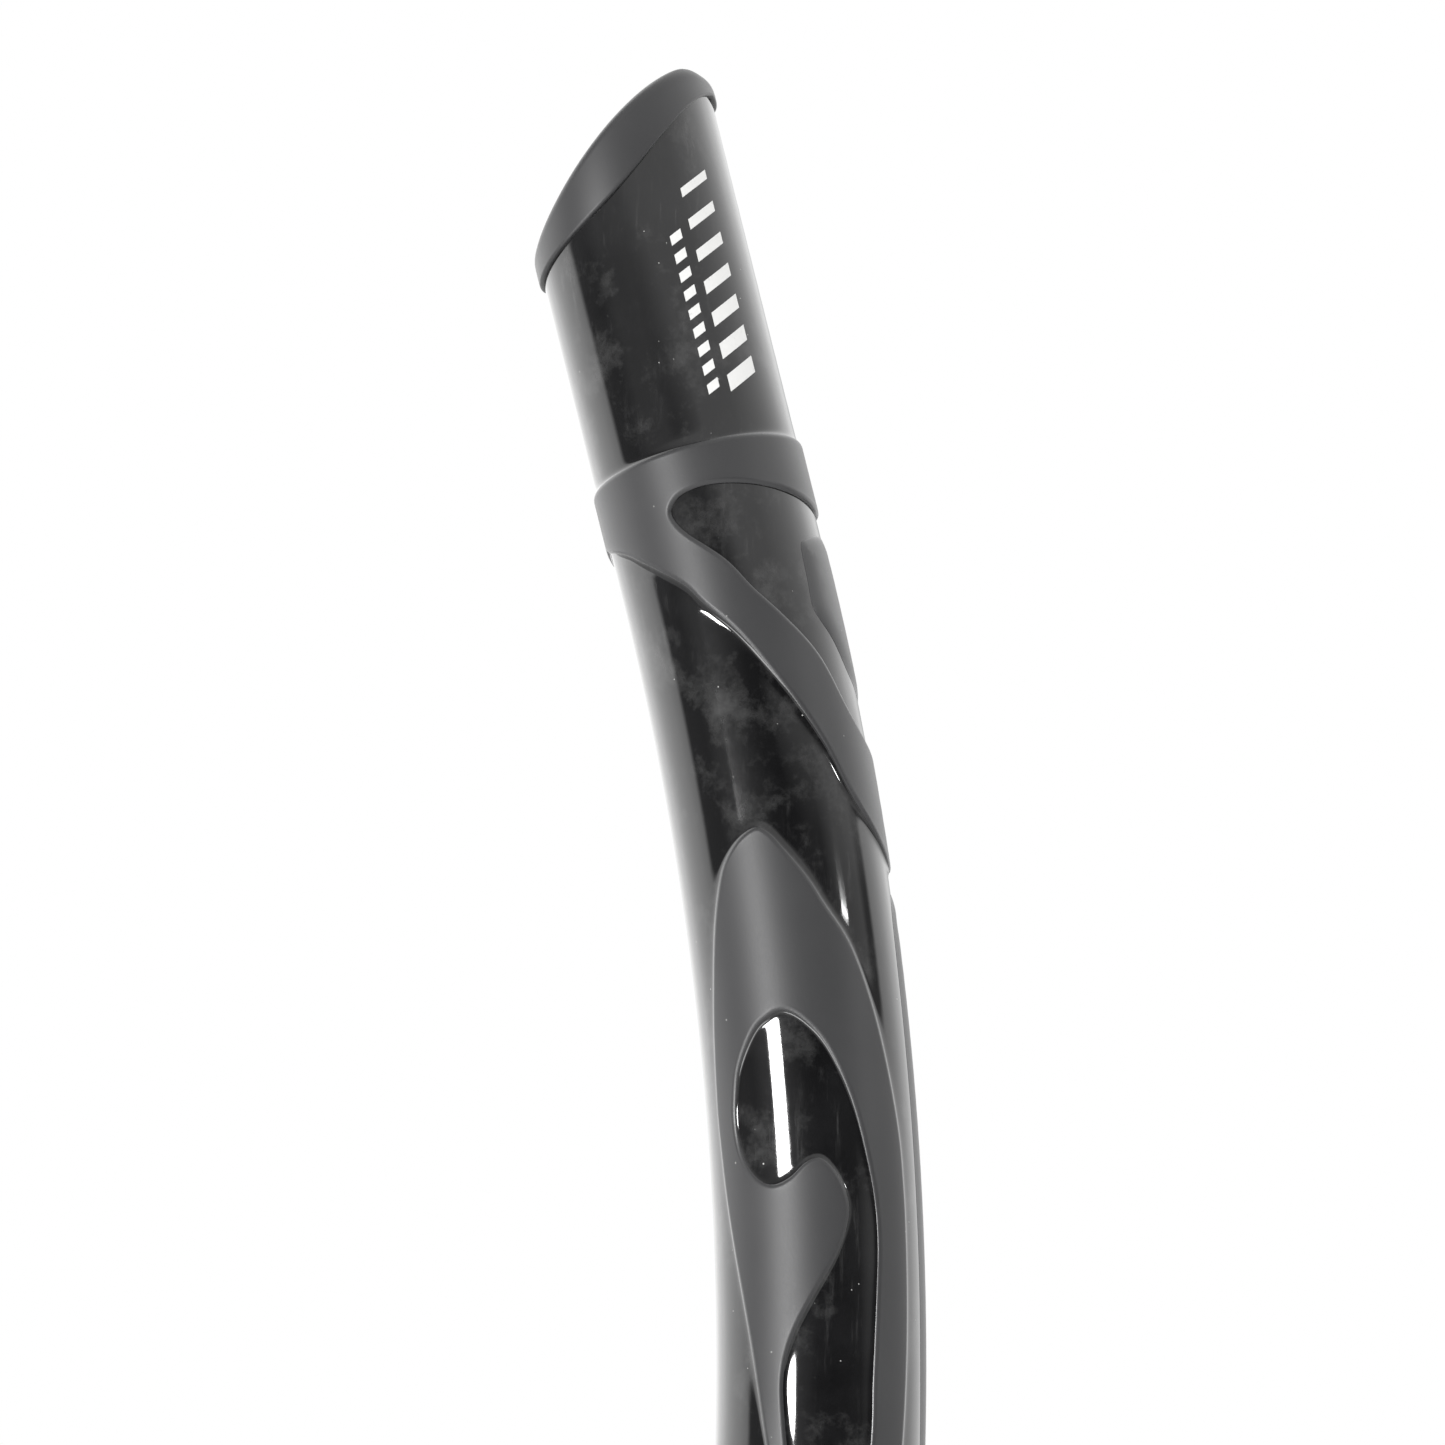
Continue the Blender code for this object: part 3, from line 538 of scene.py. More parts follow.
def bump(tree, height, strength, depth_mm):
    return node(tree, "ShaderNodeBump", Height=height, Strength=strength, Distance=depth_mm * MM).outputs[0]


def gloss_black():
    """Polished moulded plastic with handling haze, fine rub marks and dust specks."""
    mat, tree, shader = new_material("gloss_black")
    haze = spread(tree, noise(tree, 48, 6, 0.68), 0.46, 0.74)
    smudge = spread(tree, noise(tree, 110, 9, 0.72), 0.52, 0.78)
    marks = noise(tree, 1.0, 4.0, 0.7, (900, 900, 70))
    rubs = math_node(tree, "MULTIPLY", spread(tree, marks, 0.56, 0.74), haze)
    dust = math_node(tree, "MAXIMUM", specks(tree, 420, 0.045, 0.08), specks(tree, 1100, 0.08, 0.05))
    shade = mix_color(tree, haze, grey(0.0025, 0.0003), grey(0.0075, 0.0005))
    shade = mix_color(tree, smudge, shade, grey(0.040))
    shade = mix_color(tree, rubs, shade, grey(0.050))
    shade = mix_color(tree, dust, shade, grey(0.30, -0.01))
    rough = math_node(tree, "MULTIPLY_ADD", rubs, 0.12, spread(tree, haze, 0, 1, 0.055, 0.085))
    rough = math_node(tree, "MULTIPLY_ADD", dust, 0.5, rough)
    feed(shader, Base_Color=shade, Roughness=rough, IOR=1.5,
         Normal=bump(tree, noise(tree, 90, 2), 0.10, 0.05))
    return mat


def matte_rubber():
    """Soft-touch rubber: fine spark-eroded grain, a little lint, and edges that handling has polished."""
    mat, tree, shader = new_material("matte_rubber")
    edge = node(tree, "ShaderNodeAttribute", attribute_name="edge").outputs["Fac"]
    cloud = spread(tree, noise(tree, 60, 3), 0.3, 0.7)
    shade = mix_color(tree, cloud, grey(0.018, 0.001), grey(0.023, 0.001))
    shade = mix_color(tree, specks(tree, 900, 0.11, 0.03), shade, grey(0.16, -0.005))
    rough = spread(tree, noise(tree, 7000, 2), 0.3, 0.7, 0.43, 0.49)
    rough = math_node(tree, "SUBTRACT", rough, math_node(tree, "MULTIPLY", edge, 0.2))
    feed(shader, Base_Color=shade, Roughness=rough, IOR=1.46, Sheen_Weight=0.06, Sheen_Roughness=0.35,
         Normal=bump(tree, noise(tree, 6500, 2, 0.6), 0.22, 0.02))
    return mat


def satin_plastic():
    """Moulded hard plastic with a fine texture and slightly polished wear."""
    mat, tree, shader = new_material("satin_plastic")
    wear = spread(tree, noise(tree, 160, 5, 0.6), 0.35, 0.75)
    feed(shader, Base_Color=mix_color(tree, wear, grey(0.006, 0.0005), grey(0.012, 0.0005)),
         Roughness=spread(tree, wear, 0, 1, 0.36, 0.27), Normal=bump(tree, noise(tree, 3600, 3), 0.2, 0.025))
    return mat


def silicone_rubber():
    """Smooth black silicone with powdery bloom."""
    mat, tree, shader = new_material("silicone_rubber")
    bloom = spread(tree, noise(tree, 140, 5, 0.6), 0.4, 0.75)
    feed(shader, Base_Color=mix_color(tree, bloom, grey(0.011, 0.0005), grey(0.022)), IOR=1.43,
         Roughness=spread(tree, bloom, 0, 1, 0.33, 0.46), Normal=bump(tree, noise(tree, 3000, 2), 0.1, 0.02))
    return mat


def clear_silicone():
    """Milky see-through silicone."""
    mat, tree, shader = new_material("clear_silicone")
    cloud = spread(tree, noise(tree, 300, 3), 0.3, 0.7)
    feed(shader, Base_Color=mix_color(tree, cloud, (0.52, 0.54, 0.55), (0.66, 0.67, 0.67)),
         Roughness=0.4, Transmission_Weight=0.35, Normal=bump(tree, noise(tree, 1200, 2), 0.1, 0.03))
    return mat


def steel():
    """Brushed stainless steel."""
    mat, tree, shader = new_material("stainless")
    lines = noise(tree, 1.0, 3.0, 0.5, (3000, 200, 3000))
    feed(shader, Base_Color=mix_color(tree, lines, (0.30, 0.305, 0.31), (0.42, 0.425, 0.43)),
         Metallic=1.0, Roughness=spread(tree, lines, 0.3, 0.7, 0.22, 0.38))
    return mat


def print_ink():
    """Screen-printed white with thin, slightly worn coverage."""
    mat, tree, shader = new_material("print_ink")
    worn = spread(tree, noise(tree, 1400, 4, 0.7), 0.62, 0.78)
    feed(shader, Base_Color=mix_color(tree, worn, grey(0.56, -0.01), grey(0.36)),
         Roughness=spread(tree, noise(tree, 800, 2), 0.3, 0.7, 0.32, 0.45))
    return mat


GLOSS = gloss_black()
RUBBER = matte_rubber()
PLASTIC = satin_plastic()
SILICONE = silicone_rubber()
CLEAR = clear_silicone()
STEEL = steel()
INK = print_ink()


# ---------------------------------------------------------------- barrel and rim

AROUND = 144


def around():
    return [360 * i / AROUND - 90 for i in range(AROUND)]


def rim_crest(a):
    u = math.sin(math.radians(a))
    return 269.6 + 8.4 * u - 1.9 * u * u - 2.2 * max(0, (u - 0.7) / 0.3) ** 2


def rim_lower(a):
    u = math.sin(math.radians(a))
    edge = 261.9 + 9.4 * u + 3.6 * u ** 2 - 0.8 * u ** 3 - 1.6 * u ** 4
    return min(edge, rim_crest(a) - 2.0)


def gloss_radius(depth):
    return BARREL_R + (MEET_R - BARREL_R) * np.exp(-depth / SWELL)


def hook_radius(depth):
    return BARREL_R + HOOK_RISE * np.exp(-depth / HOOK_SWELL)


def plain_radius(depth):
    return np.full(len(depth), BARREL_R)


def rounded_step(depth, start, top, width, fullness):
    return start + (top - start) * (1 - (1 - np.minimum(depth / width, 1)) ** 2) ** fullness


def rubber_radius(depth):
    return rounded_step(depth, MEET_R, RUBBER_R, RUBBER_ROUND, 0.8)


def low_rubber_radius(depth):
    return rounded_step(depth, BARREL_R + 0.02, LOW_RUBBER_R, LOW_RUBBER_ROUND, 1)


def band(low, high, lines):
    """A closed outline round the barrel between two lines from the mouth side all the way round. Its seam
    gets the same points on both sides, close together near the lines given."""
    left = low[0][0]
    right = left + (high[-1][0] - high[0][0])
    bottom = low[0][1]
    top = high[0][1]
    margin = RINGS[-1] + 1.2
    length = top - bottom - 2 * margin
    steps = int(length / GLOSS_CELL)
    seam = [bottom + depth for depth in RINGS] if low in lines else []
    seam += [bottom + margin + length * i / max(steps, 1) for i in range(steps + 1)]
    seam += [top - depth for depth in reversed(RINGS)] if high in lines else []
    return low + [(right, y) for y in seam] + high[::-1] + [(left, y) for y in reversed(seam)]


def barrel_core():
    """The tube itself, with a rounded foot and an oblique top hidden in the rim."""
    def levels(a, top_steps=14, bend_steps=64):
        bend = [BEND_END * i / bend_steps for i in range(bend_steps)]
        cut = rim_crest(a) - 1.3
        return bend + [BEND_END + (cut - BEND_END) * i / top_steps for i in range(top_steps + 1)]
    grid = [levels(a) for a in around()]
    rows = list(range(len(grid[0])))
    outer = [[on_barrel(grid[j][i], a, CORE_R) for j, a in enumerate(around())] for i in rows]
    inner = [[on_barrel(grid[j][i], a, BORE_R) for j, a in enumerate(around())] for i in reversed(rows)]
    foot = [[on_barrel(s, a, r) for a in around()] for s, r in ((0, BORE_R + 0.3), (0, CORE_R - 0.3))]
    outer[0] = [on_barrel(0.3, a, CORE_R) for a in around()]
    inner[-1] = [on_barrel(0.3, a, BORE_R) for a in around()]
    return skin(outer + inner + foot, True)


def all_round(height, steps=164):
    """A flat line right round the barrel from the mouth side, at a height that depends on the angle."""
    angles = [360 * i / steps - 90 for i in range(steps + 1)]
    return flat([(height(a), a) for a in angles])


def make_barrel():
    """The glossy barrel: its core, and a skin in each area that the rubber leaves free."""
    rim = all_round(rim_lower)
    foot = all_round(lambda a: SKIN_FOOT)
    top = barrel_skin([band(COLLAR, rim, [COLLAR])], [COLLAR], gloss_radius, wrap=TURN)
    loops = [band(foot, SLEEVE, [SLEEVE])] + PANELS + [SPINE]
    lines = [SLEEVE] + closed_lines(PANELS)
    shapes = [barrel_core(), top, barrel_skin(loops, lines, gloss_radius, wrap=TURN)]
    shapes.append(barrel_skin([WINDOW, PATCH], closed_lines([WINDOW, PATCH]), plain_radius))
    shapes += [barrel_skin([hook], closed_lines([hook]), hook_radius) for hook in HOOKS]
    piece("barrel_tube", joined(shapes), "barrel", ["barrel"], GLOSS)


def make_rim():
    """The soft cap: an outer leg with a rounded edge, a full round top and a leg down the bore."""
    leg = CORE_R + 0.05
    out = 13.55
    bore = 10.0
    top_round = 1.5
    def rim_section(a):
        low = rim_lower(a)
        high = rim_crest(a)
        return fillet([(leg, low), (out, low), (out, high), (bore, high), (bore, high - 6),
                       (BORE_R - 0.02, high - 6), (BORE_R - 0.02, high - 1.2), (leg, high - 1.2)],
                      [0.05, 0.45, top_round, top_round, 0.4, 0.1, 0.05, 0.05], 7)
    sections = [rim_section(a) for a in around()]
    rings = [[on_barrel(sections[j][i][1], a, sections[j][i][0]) for j, a in enumerate(around())]
             for i in range(len(sections[0]))]
    piece("top_rim_cap", skin(rings, True), "barrel", ["top_rim"], RUBBER)


# ---------------------------------------------------------------- overmoulds

def flat(points):
    """(s, a) places laid out flat, in millimetres."""
    return [(math.radians(a) * FLAT_R, s) for s, a in points]


def side_outline(points, far):
    """A closed smooth outline on the near or far side, with its one corner at the first and last point."""
    return smooth(flat([(s, 180 - a if far else a) for s, a in points]), 0.55)[:-1]


def mirrored(half, step=0.5):
    """A line to the back's middle line and on by its mirror image, without its last point."""
    near = smooth(flat(half), step)
    return near + [(TURN / 2 - x, y) for x, y in reversed(near[1:-1])]


def overmould(node_name, loops, lines=None, wrap=None, profile=rubber_radius):
    shape = barrel_skin(loops, lines or closed_lines(loops), profile, RUBBER_CELL, wrap)
    piece(node_name + "_skin", shape, "barrel", [node_name], RUBBER, sharp=70)


# Outlines in (s, a): the sleeve's lower edge, the halves of the outlines on the back, and those on a side
SLEEVE_EDGE = [(221, -90), (218.6, -62), (216.4, -48), (214.3, -37), (211.6, -25), (208.7, -17),
               (204.3, -3), (197.9, 13), (189.4, 33), (183.4, 45), (179.6, 58), (176.0, 76), (174.6, 90)]
WINDOW_HALF = [(218.8, 90), (219.1, 77), (220.3, 53), (221.9, 24), (222.7, 2), (222.6, -11),
               (222.0, -18.5), (220.9, -22.6), (219.6, -21.8), (217.6, -16.5), (213.3, 0), (209.2, 11),
               (205.4, 24), (200.1, 42), (194, 56), (190.5, 70), (188.2, 90)]
PATCH_HALF = [(215.9, 90), (215.5, 70), (214.6, 53), (214.0, 48.6), (212.6, 47.4), (209.6, 46.8),
              (206.3, 46), (204.6, 50), (202.4, 58), (198.2, 71), (195.5, 90)]
PANEL = [(63, 12), (76, -3), (90, -17), (103.7, -30.5), (116.7, -41.5), (128, -52), (134.4, -57),
         (140.5, -60), (147, -61.2), (155.6, -58.3), (162.9, -53), (169.1, -47), (173.7, -40.5),
         (176.8, -34), (179.2, -24), (180.3, -13), (179.4, -6.5), (177.2, 0), (173.3, 10.5), (169.8, 18),
         (164.7, 30), (157.4, 40), (150, 47), (141.9, 52.6), (136, 54), (130, 54.3), (117.5, 53.2),
         (104.3, 50), (92, 45), (76, 32), (63, 12)]
HOOK = [(78, 12), (90, 22), (104, 27.6), (112, 28.4), (120.9, 30.6), (128, 32.6), (133.5, 31.8),
        (138.8, 28.2), (145.7, 21.5), (152.3, 10.5), (155.9, -1), (157.4, -11), (156.9, -20), (155.4, -29),
        (151.6, -39.5), (148.2, -43.8), (144.6, -45.6), (141.2, -43.8), (138.6, -39), (136.8, -32),
        (136.1, -24), (136.8, -15), (138.5, -6), (139.0, 1.5), (137.8, 8), (135.6, 13.6), (133, 16.3),
        (130.4, 14.4), (126.9, 8.2), (122, -4.5), (118.2, -13.6), (115, -19), (111.6, -21.3),
        (107.6, -20.6), (102, -17.6), (94, -11), (86, 0), (78, 12)]
SPINE_HALF = [(172, 90), (171.3, 82), (168, 76), (160, 73.5), (145, 73), (130, 73), (110, 73.5), (90, 78),
              (76, 84), (69, 90)]

SLEEVE = mirrored(SLEEVE_EDGE, 0.6)
SLEEVE.append((TURN / 2 - SLEEVE[0][0], SLEEVE[0][1]))
COLLAR = all_round(lambda a: COLLAR_TOP)
WINDOW = mirrored(WINDOW_HALF)
PATCH = mirrored(PATCH_HALF)
SPINE = mirrored(SPINE_HALF)
PANELS = [side_outline(PANEL, far) for far in (False, True)]
HOOKS = [side_outline(HOOK, far) for far in (False, True)]


def make_overmoulds():
    lines = [SLEEVE, COLLAR] + closed_lines([WINDOW])
    overmould("upper_sleeve", [band(SLEEVE, COLLAR, [SLEEVE, COLLAR]), WINDOW], lines, TURN)
    overmould("back_patch", [PATCH], profile=low_rubber_radius)
    for side, panel, hook in zip(("near", "far"), PANELS, HOOKS):
        overmould(f"side_panel_{side}", [panel, hook])
    overmould("back_spine", [SPINE], profile=low_rubber_radius)


def make_print():
    """A generic mark: a row of slanted bars beside a row of short dashes, printed on the barrel."""
    marks = []
    for i in range(7):
        start = 233.5 + 4.1 * i
        grow = 2.1 - 0.16 * i
        marks.append([(start, 26), (start + grow, 26), (start + grow + 2.4, 46), (start + 2.4, 46)])
    for i in range(9):
        start = 233.5 + 2.35 * i
        marks.append([(start, 13), (start + 1.2, 13), (start + 2.0, 20), (start + 0.8, 20)])
    shapes = []
    for mark in marks:
        loop = []
        for p, q in segments(closed_lines([flat(mark)])):
            loop += [(p[0] + (q[0] - p[0]) * k / 6, p[1] + (q[1] - p[1]) * k / 6) for k in range(6)]
        points, tris = sheet([loop], closed_lines([loop]), (0.2,), 0.8)
        low, high = (on_barrel_all(points, BARREL_R + rise) for rise in INK_RISE)
        shapes.append(thick(points, tris, low, high))
    piece("barrel_print", joined(shapes)[:2], "barrel", [], INK)


# ---------------------------------------------------------------- swivel and hose

def make_foot_cuff():
    """A cuff along the barrel's bend with shallow grip grooves, and a lip round the swivel's flange."""
    grip_low, grip_high, grooves = 2.0, 16.0, 5
    grip = []
    for i in range(grooves * 12 + 1):
        t = i / (grooves * 12)
        groove = 0.38 * max(0, -math.cos(2 * math.pi * grooves * t)) ** 1.5
        grip.append((16 - t - groove, grip_low + (grip_high - grip_low) * t))
    low = [(13.06, 22), (13.06, 0.6), (14.3, 0.6), (14.3, -3.7), (11.5, -3.7), (11.5, -5.2), (16, -5.2)]
    high = [(15, 19), (15.5, 20), (15.5, 22)]
    radii = [0.3, 0.2, 0.2, 0.2, 0.4, 0.4, 0.9] + [0] * len(grip) + [0.5, 0.5, 0.6]
    section = fillet(low + grip + high, radii)
    rings = [[on_barrel(s, a, radius) for a in around()] for radius, s in section]
    piece("foot_cuff_grip", skin(rings, True), "barrel", ["foot_cuff"], RUBBER)


def make_swivel():
    nipple = [(NIPPLE_BORE_R, 16), (NIPPLE_R, 16), (NIPPLE_R, 9.1), (9.3, 9.1), (9.3, 6.9), (10.6, 6.9),
              (10.6, -0.4), (14, -0.4), (14, -3.4), (NIPPLE_R, -3.4), (NIPPLE_R, -15.4),
              (NIPPLE_BORE_R, -15.4)]
    piece("hose_nipple_tube", turned(fillet(nipple, 0.25)), "swivel", ["hose_nipple"], PLASTIC, SWIVEL)
    thick_r = 0.6
    seal = [(10.2 + thick_r * math.cos(t), 8 + thick_r * math.sin(t)) for t in turns(20)]
    piece("o_ring_seal", turned(seal), "swivel", ["o_ring"], SILICONE, SWIVEL)
    tie = moved(tie_band(*HOSE_TIE), Matrix.Translation((0, 0, -10.6)))
    piece("hose_clamp_upper_tie", tie, "swivel", ["hose_clamp_upper"], PLASTIC, SWIVEL)


def tie_band(inner, thickness, width, head=1.8, head_deg=30.0):
    """A toothed tie about Z with rounded edges, and a head with a slot and a cut tail, centred on +X."""
    steps = 240
    rings = []
    for i in range(steps):
        turn = 360 * i / steps
        off = abs((turn + 180) % 360 - 180)  # degrees from the head's middle
        block = min(max((head_deg / 2 - off) / 2.0, 0), 1)
        slot = 1.0 if 3.0 < off < 6.0 else 0.0
        teeth = 0.16 * (i % 3 == 0) * (off > head_deg)
        rise = thickness + head * block * (1 - 0.35 * slot) - teeth
        half = width / 2 + 0.5 * block
        section = fillet([(inner, -half), (inner + rise, -half), (inner + rise, half), (inner, half)],
                         [0.15, 0.35, 0.35, 0.15], 4)
        t = math.radians(turn)
        rings.append([(r * math.cos(t), r * math.sin(t), z) for r, z in section])
    return skin(rings, True)


def hose_centre(along):
    """Point (x, z) from the foot and lean, from straight down towards the mouth, along the hose."""
    bend_r = HOSE_BEND / (HOSE_END_LEAN - FOOT_LEAN)
    before = HOSE_START + min(along, HOSE_CUFF)
    lean = FOOT_LEAN + min(max(along - HOSE_CUFF, 0), HOSE_BEND) / bend_r
    after = max(along - HOSE_CUFF - HOSE_BEND, 0)
    x = before * math.sin(FOOT_LEAN) + bend_r * (math.cos(FOOT_LEAN) - math.cos(lean))
    z = before * math.cos(FOOT_LEAN) + bend_r * (math.sin(lean) - math.sin(FOOT_LEAN))
    return -x - after * math.sin(lean), -z - after * math.cos(lean), lean


def make_hose():
    """A soft hose with round folds between two plain cuffs that end in a bead."""
    def fold_radius(along, root, crest):
        wave = 0.5 - 0.5 * math.cos(2 * math.pi * (along - HOSE_CUFF) / HOSE_PITCH)
        return root + (crest - root) * wave ** 0.8

    def hose_ring(along, radius):
        x, z, lean = hose_centre(along)
        return [(x + radius * math.cos(t) * math.cos(lean), radius * math.sin(t),
                 z - radius * math.cos(t) * math.sin(lean)) for t in turns(96)]

    folds = [HOSE_CUFF + HOSE_PITCH * i / 12 for i in range(HOSE_FOLDS * 12 + 1)]
    bead = HOSE_CUFF_R + 0.3
    start = [(0.0, HOSE_CUFF_R - 0.3), (0.15, bead - 0.1), (0.5, bead), (1.0, bead), (1.5, HOSE_CUFF_R),
             (HOSE_CUFF - 1.2, HOSE_CUFF_R), (HOSE_CUFF - 0.6, HOSE_CUFF_R - 0.15)]
    end = [(HOSE_LENGTH - along, radius) for along, radius in reversed(start)]
    outer = start + [(s, fold_radius(s, HOSE_ROOT_R, HOSE_CREST_R)) for s in folds] + end
    bore = NIPPLE_R + 0.05
    root = HOSE_ROOT_R - HOSE_WALL
    inner = [(s, fold_radius(s, root, HOSE_CREST_R - HOSE_WALL)) for s in folds[::2]]
    rings = [hose_ring(s, r) for s, r in outer]
    rings += [hose_ring(s, r) for s, r in [(HOSE_LENGTH, bore)] + inner[::-1] + [(0.0, bore)]]
    hose = piece("flex_hose_tube", skin(rings, True), None, ["flex_hose"], SILICONE, sharp=60)
    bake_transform(hose)


# ---------------------------------------------------------------- purge chamber and mouthpiece

def make_chamber():
    """A cup open at the bottom with two spigots, remeshed so that they flow into it."""
    shell = fillet([(CHAMBER_R - 0.4, CHAMBER_RIM), (CHAMBER_R, CHAMBER_RIM), (CHAMBER_R, CHAMBER_RIM + 2.2),
                    (CHAMBER_R - 0.4, CHAMBER_RIM + 2.8), (CHAMBER_R - 0.4, CHAMBER_TOP),
                    (CHAMBER_R - 6, CHAMBER_TOP)], [0, 0.3, 0.4, 0.4, 3.5, 0], 8, closed=False)
    hose_end = SPIGOT_START + HOSE_CUFF
    spigots = [moved(rod(NIPPLE_R, 6, hose_end - 0.5), TO_HOSE),
               moved(rod(NIPPLE_R + 1.6, 6, SPIGOT_START - 1), TO_HOSE),
               moved(rod(9.4, 12, 31), TO_MOUTH),
               moved(rod(11.2, 12, 18.6), TO_MOUTH)]
    cut = [rod(CHAMBER_R - 2, CHAMBER_RIM - 1, CHAMBER_TOP - 2),
           moved(rod(NIPPLE_BORE_R, 2, hose_end + 1), TO_HOSE),
           moved(rod(7.8, 9, 32), TO_MOUTH)]
    shape = moulded(turned(shell, 128, closed=False), spigots, cut, 0.4, 8)
    piece("purge_chamber_body", shape, "chamber", ["purge_chamber"], PLASTIC, CHAMBER)
    tie = moved(tie_band(*HOSE_TIE), Matrix.Translation((0, 0, SPIGOT_START + 5)))
    piece("hose_clamp_lower_tie", moved(tie, TO_HOSE), "chamber", ["hose_clamp_lower"], PLASTIC, CHAMBER)


def arc_slot(inner, outer, from_deg, to_deg, low, high, steps=16):
    """A cutter for a curved slot between two radii, its corners rounded."""
    angles = [math.radians(from_deg + (to_deg - from_deg) * i / steps) for i in range(steps + 1)]
    far = [(outer * math.cos(t), outer * math.sin(t)) for t in angles]
    near = [(inner * math.cos(t), inner * math.sin(t)) for t in reversed(angles)]
    outline = fillet(far + near, [0.9] + [0] * (steps - 1) + [0.9, 0.9] + [0] * (steps - 1) + [0.9])
    return skin([[(x, y, z) for x, y in outline] for z in (low, high)], False)


def make_purge():
    """The clear flap with its bulb, and the slotted cover with a snap skirt."""
    bulb = -3.5
    flap = [(0.1, -8.1), (12, -8.1), (13, -7.7), (12.2, -7.35), (1.35, -7.3), (1.35, bulb), (2.5, bulb),
            (1.6, bulb + 1.6), (0.1, bulb + 2.2)]
    radii = [0, 0.3, 0.15, 0.3, 0.4, 0.3, 0.35, 0.9, 0]
    shape = turned(fillet(flap, radii, closed=False), 96, closed=False)
    piece("purge_flap", shape, "diaphragm", ["purge_diaphragm"], CLEAR, CHAMBER)
    vents = [arc_slot(7.0, 12.5, 45 * i + 9, 45 * i + 36, -14, -10) for i in range(8)]
    skirt = turned([(15.6, -9.7), (15.6, -11.4), (13.8, -11.4), (13.8, -9.7)])
    shape = moulded(rod(CHAMBER_R, COVER_LOW, -10.9, 0.6, 128), [skirt], vents, 0.28, 3)
    piece("purge_cover_cap", shape, "chamber", ["purge_cover"], PLASTIC, CHAMBER)


def oval(x, half_y, half_z, roundness=2.0, bow=0.0, count=96):
    """A ring across the mouth's axis; bow pushes its sides towards the mouth."""
    ring = []
    for t in turns(count):
        y = half_y * math.copysign(abs(math.cos(t)) ** (2 / roundness), math.cos(t))
        z = half_z * math.copysign(abs(math.sin(t)) ** (2 / roundness), math.sin(t))
        ring.append((-x - bow * y * y, y, MOUTH_Z + z))
    return ring


def make_mouthpiece():
    """A soft sleeve, a neck, a bowed lip shield and two bite tabs, remeshed into one skin."""
    grip = 9.45
    bow = 0.008
    neck = smooth([(31, 11.7, 11.7, 2, 0), (36, 13, 10.5, 2.1, 0), (40.5, 15, 9.5, 2.2, bow / 2)], 0.8)
    rings = [oval(19, 11.3, 11.3), oval(19.3, 11.9, 11.9), oval(20.4, 11.9, 11.9), oval(21, 11.6, 11.6)]
    rings += [oval(*row) for row in neck]
    shield = [(42.3, 28.5, 14.5), (42.9, 29.7, 15.7), (43.7, 30, 16), (44.5, 29, 15)]
    rings += [oval(*row, 2.5, bow) for row in shield]
    rings += [oval(45, 13, 6, 2.4, bow), oval(41, 12, 6, 2.2),
              oval(34, 7.8, 7.8), oval(31.5, 7.8, 7.8), oval(31.3, grip, grip), oval(19, grip, grip)]
    tongue = [(0, -1.9), (15, -1.9), (15, 1.9), (0, 1.9)]
    lug = fillet([(11.5, -5.5), (15.5, -5), (15.5, 5), (11.5, 5.5)], 1.4)
    tabs = []
    for side in (-1, 1):
        for section in (tongue, lug):
            tabs.append(skin([[(-x - out, side * y, MOUTH_Z + up) for out, up in section]
                              for y, x in ((14.5, 44.5), (24, 47.8))], False))
    shape = moulded(skin(rings, True), tabs, [], 0.42, 10)
    piece("mouthpiece_skin", shape, "chamber", ["mouthpiece"], SILICONE, CHAMBER)
    tie = moved(tie_band(11.72, 1.3, 3.6, 1.6), Matrix.Translation((0, 0, 24)))
    piece("mouthpiece_tie_band", moved(tie, TO_MOUTH), "chamber", ["mouthpiece_tie"], PLASTIC, CHAMBER)


# ---------------------------------------------------------------- mask-strap keeper

def make_keeper():
    liner = [(13.1, -10), (16.4, -10), (16.4, -8.4), (14.6, -8.4), (14.6, 8.4), (16.4, 8.4), (16.4, 10),
             (13.1, 10)]
    piece("keeper_liner_ring", turned(fillet(liner, [0.5, 0.5, 0.3, 0.3, 0.3, 0.3, 0.5, 0.5]), 144),
          "keeper_slide", ["keeper_liner"], SILICONE, KEEPER)
    ring = turned(fillet([(14.9, -8), (17, -8), (17, 8), (14.9, 8)], [0.3, 0.7, 0.7, 0.3]), 144)
    boss = moved(rod(7.4, 15.6, 22.2), HALF_TURN @ ALONG_X)
    bore = moved(rod(2.4, 10, 24), HALF_TURN @ ALONG_X)
    sink = moved(rod(4.5, 10, 18), HALF_TURN @ ALONG_X)
    shape = moulded(ring, [boss], [bore, sink], 0.32, 5)
    piece("keeper_ring_body", shape, "keeper_turn", ["keeper_ring"], PLASTIC, KEEPER)
    rivet = [(3.6, 15.6), (4, 15.6), (4, 17.6), (2.1, 17.6), (2.1, 23.7), (3.8, 23.7), (3.8, 25),
             (0.1, 25)]
    shape = turned(fillet(rivet, [0, 0.3, 0.3, 0.1, 0.1, 0.3, 0.5, 0], closed=False), 64, closed=False)
    piece("keeper_rivet_pin", moved(shape, ALONG_X), "keeper_turn", ["keeper_rivet"], STEEL, CLIP)


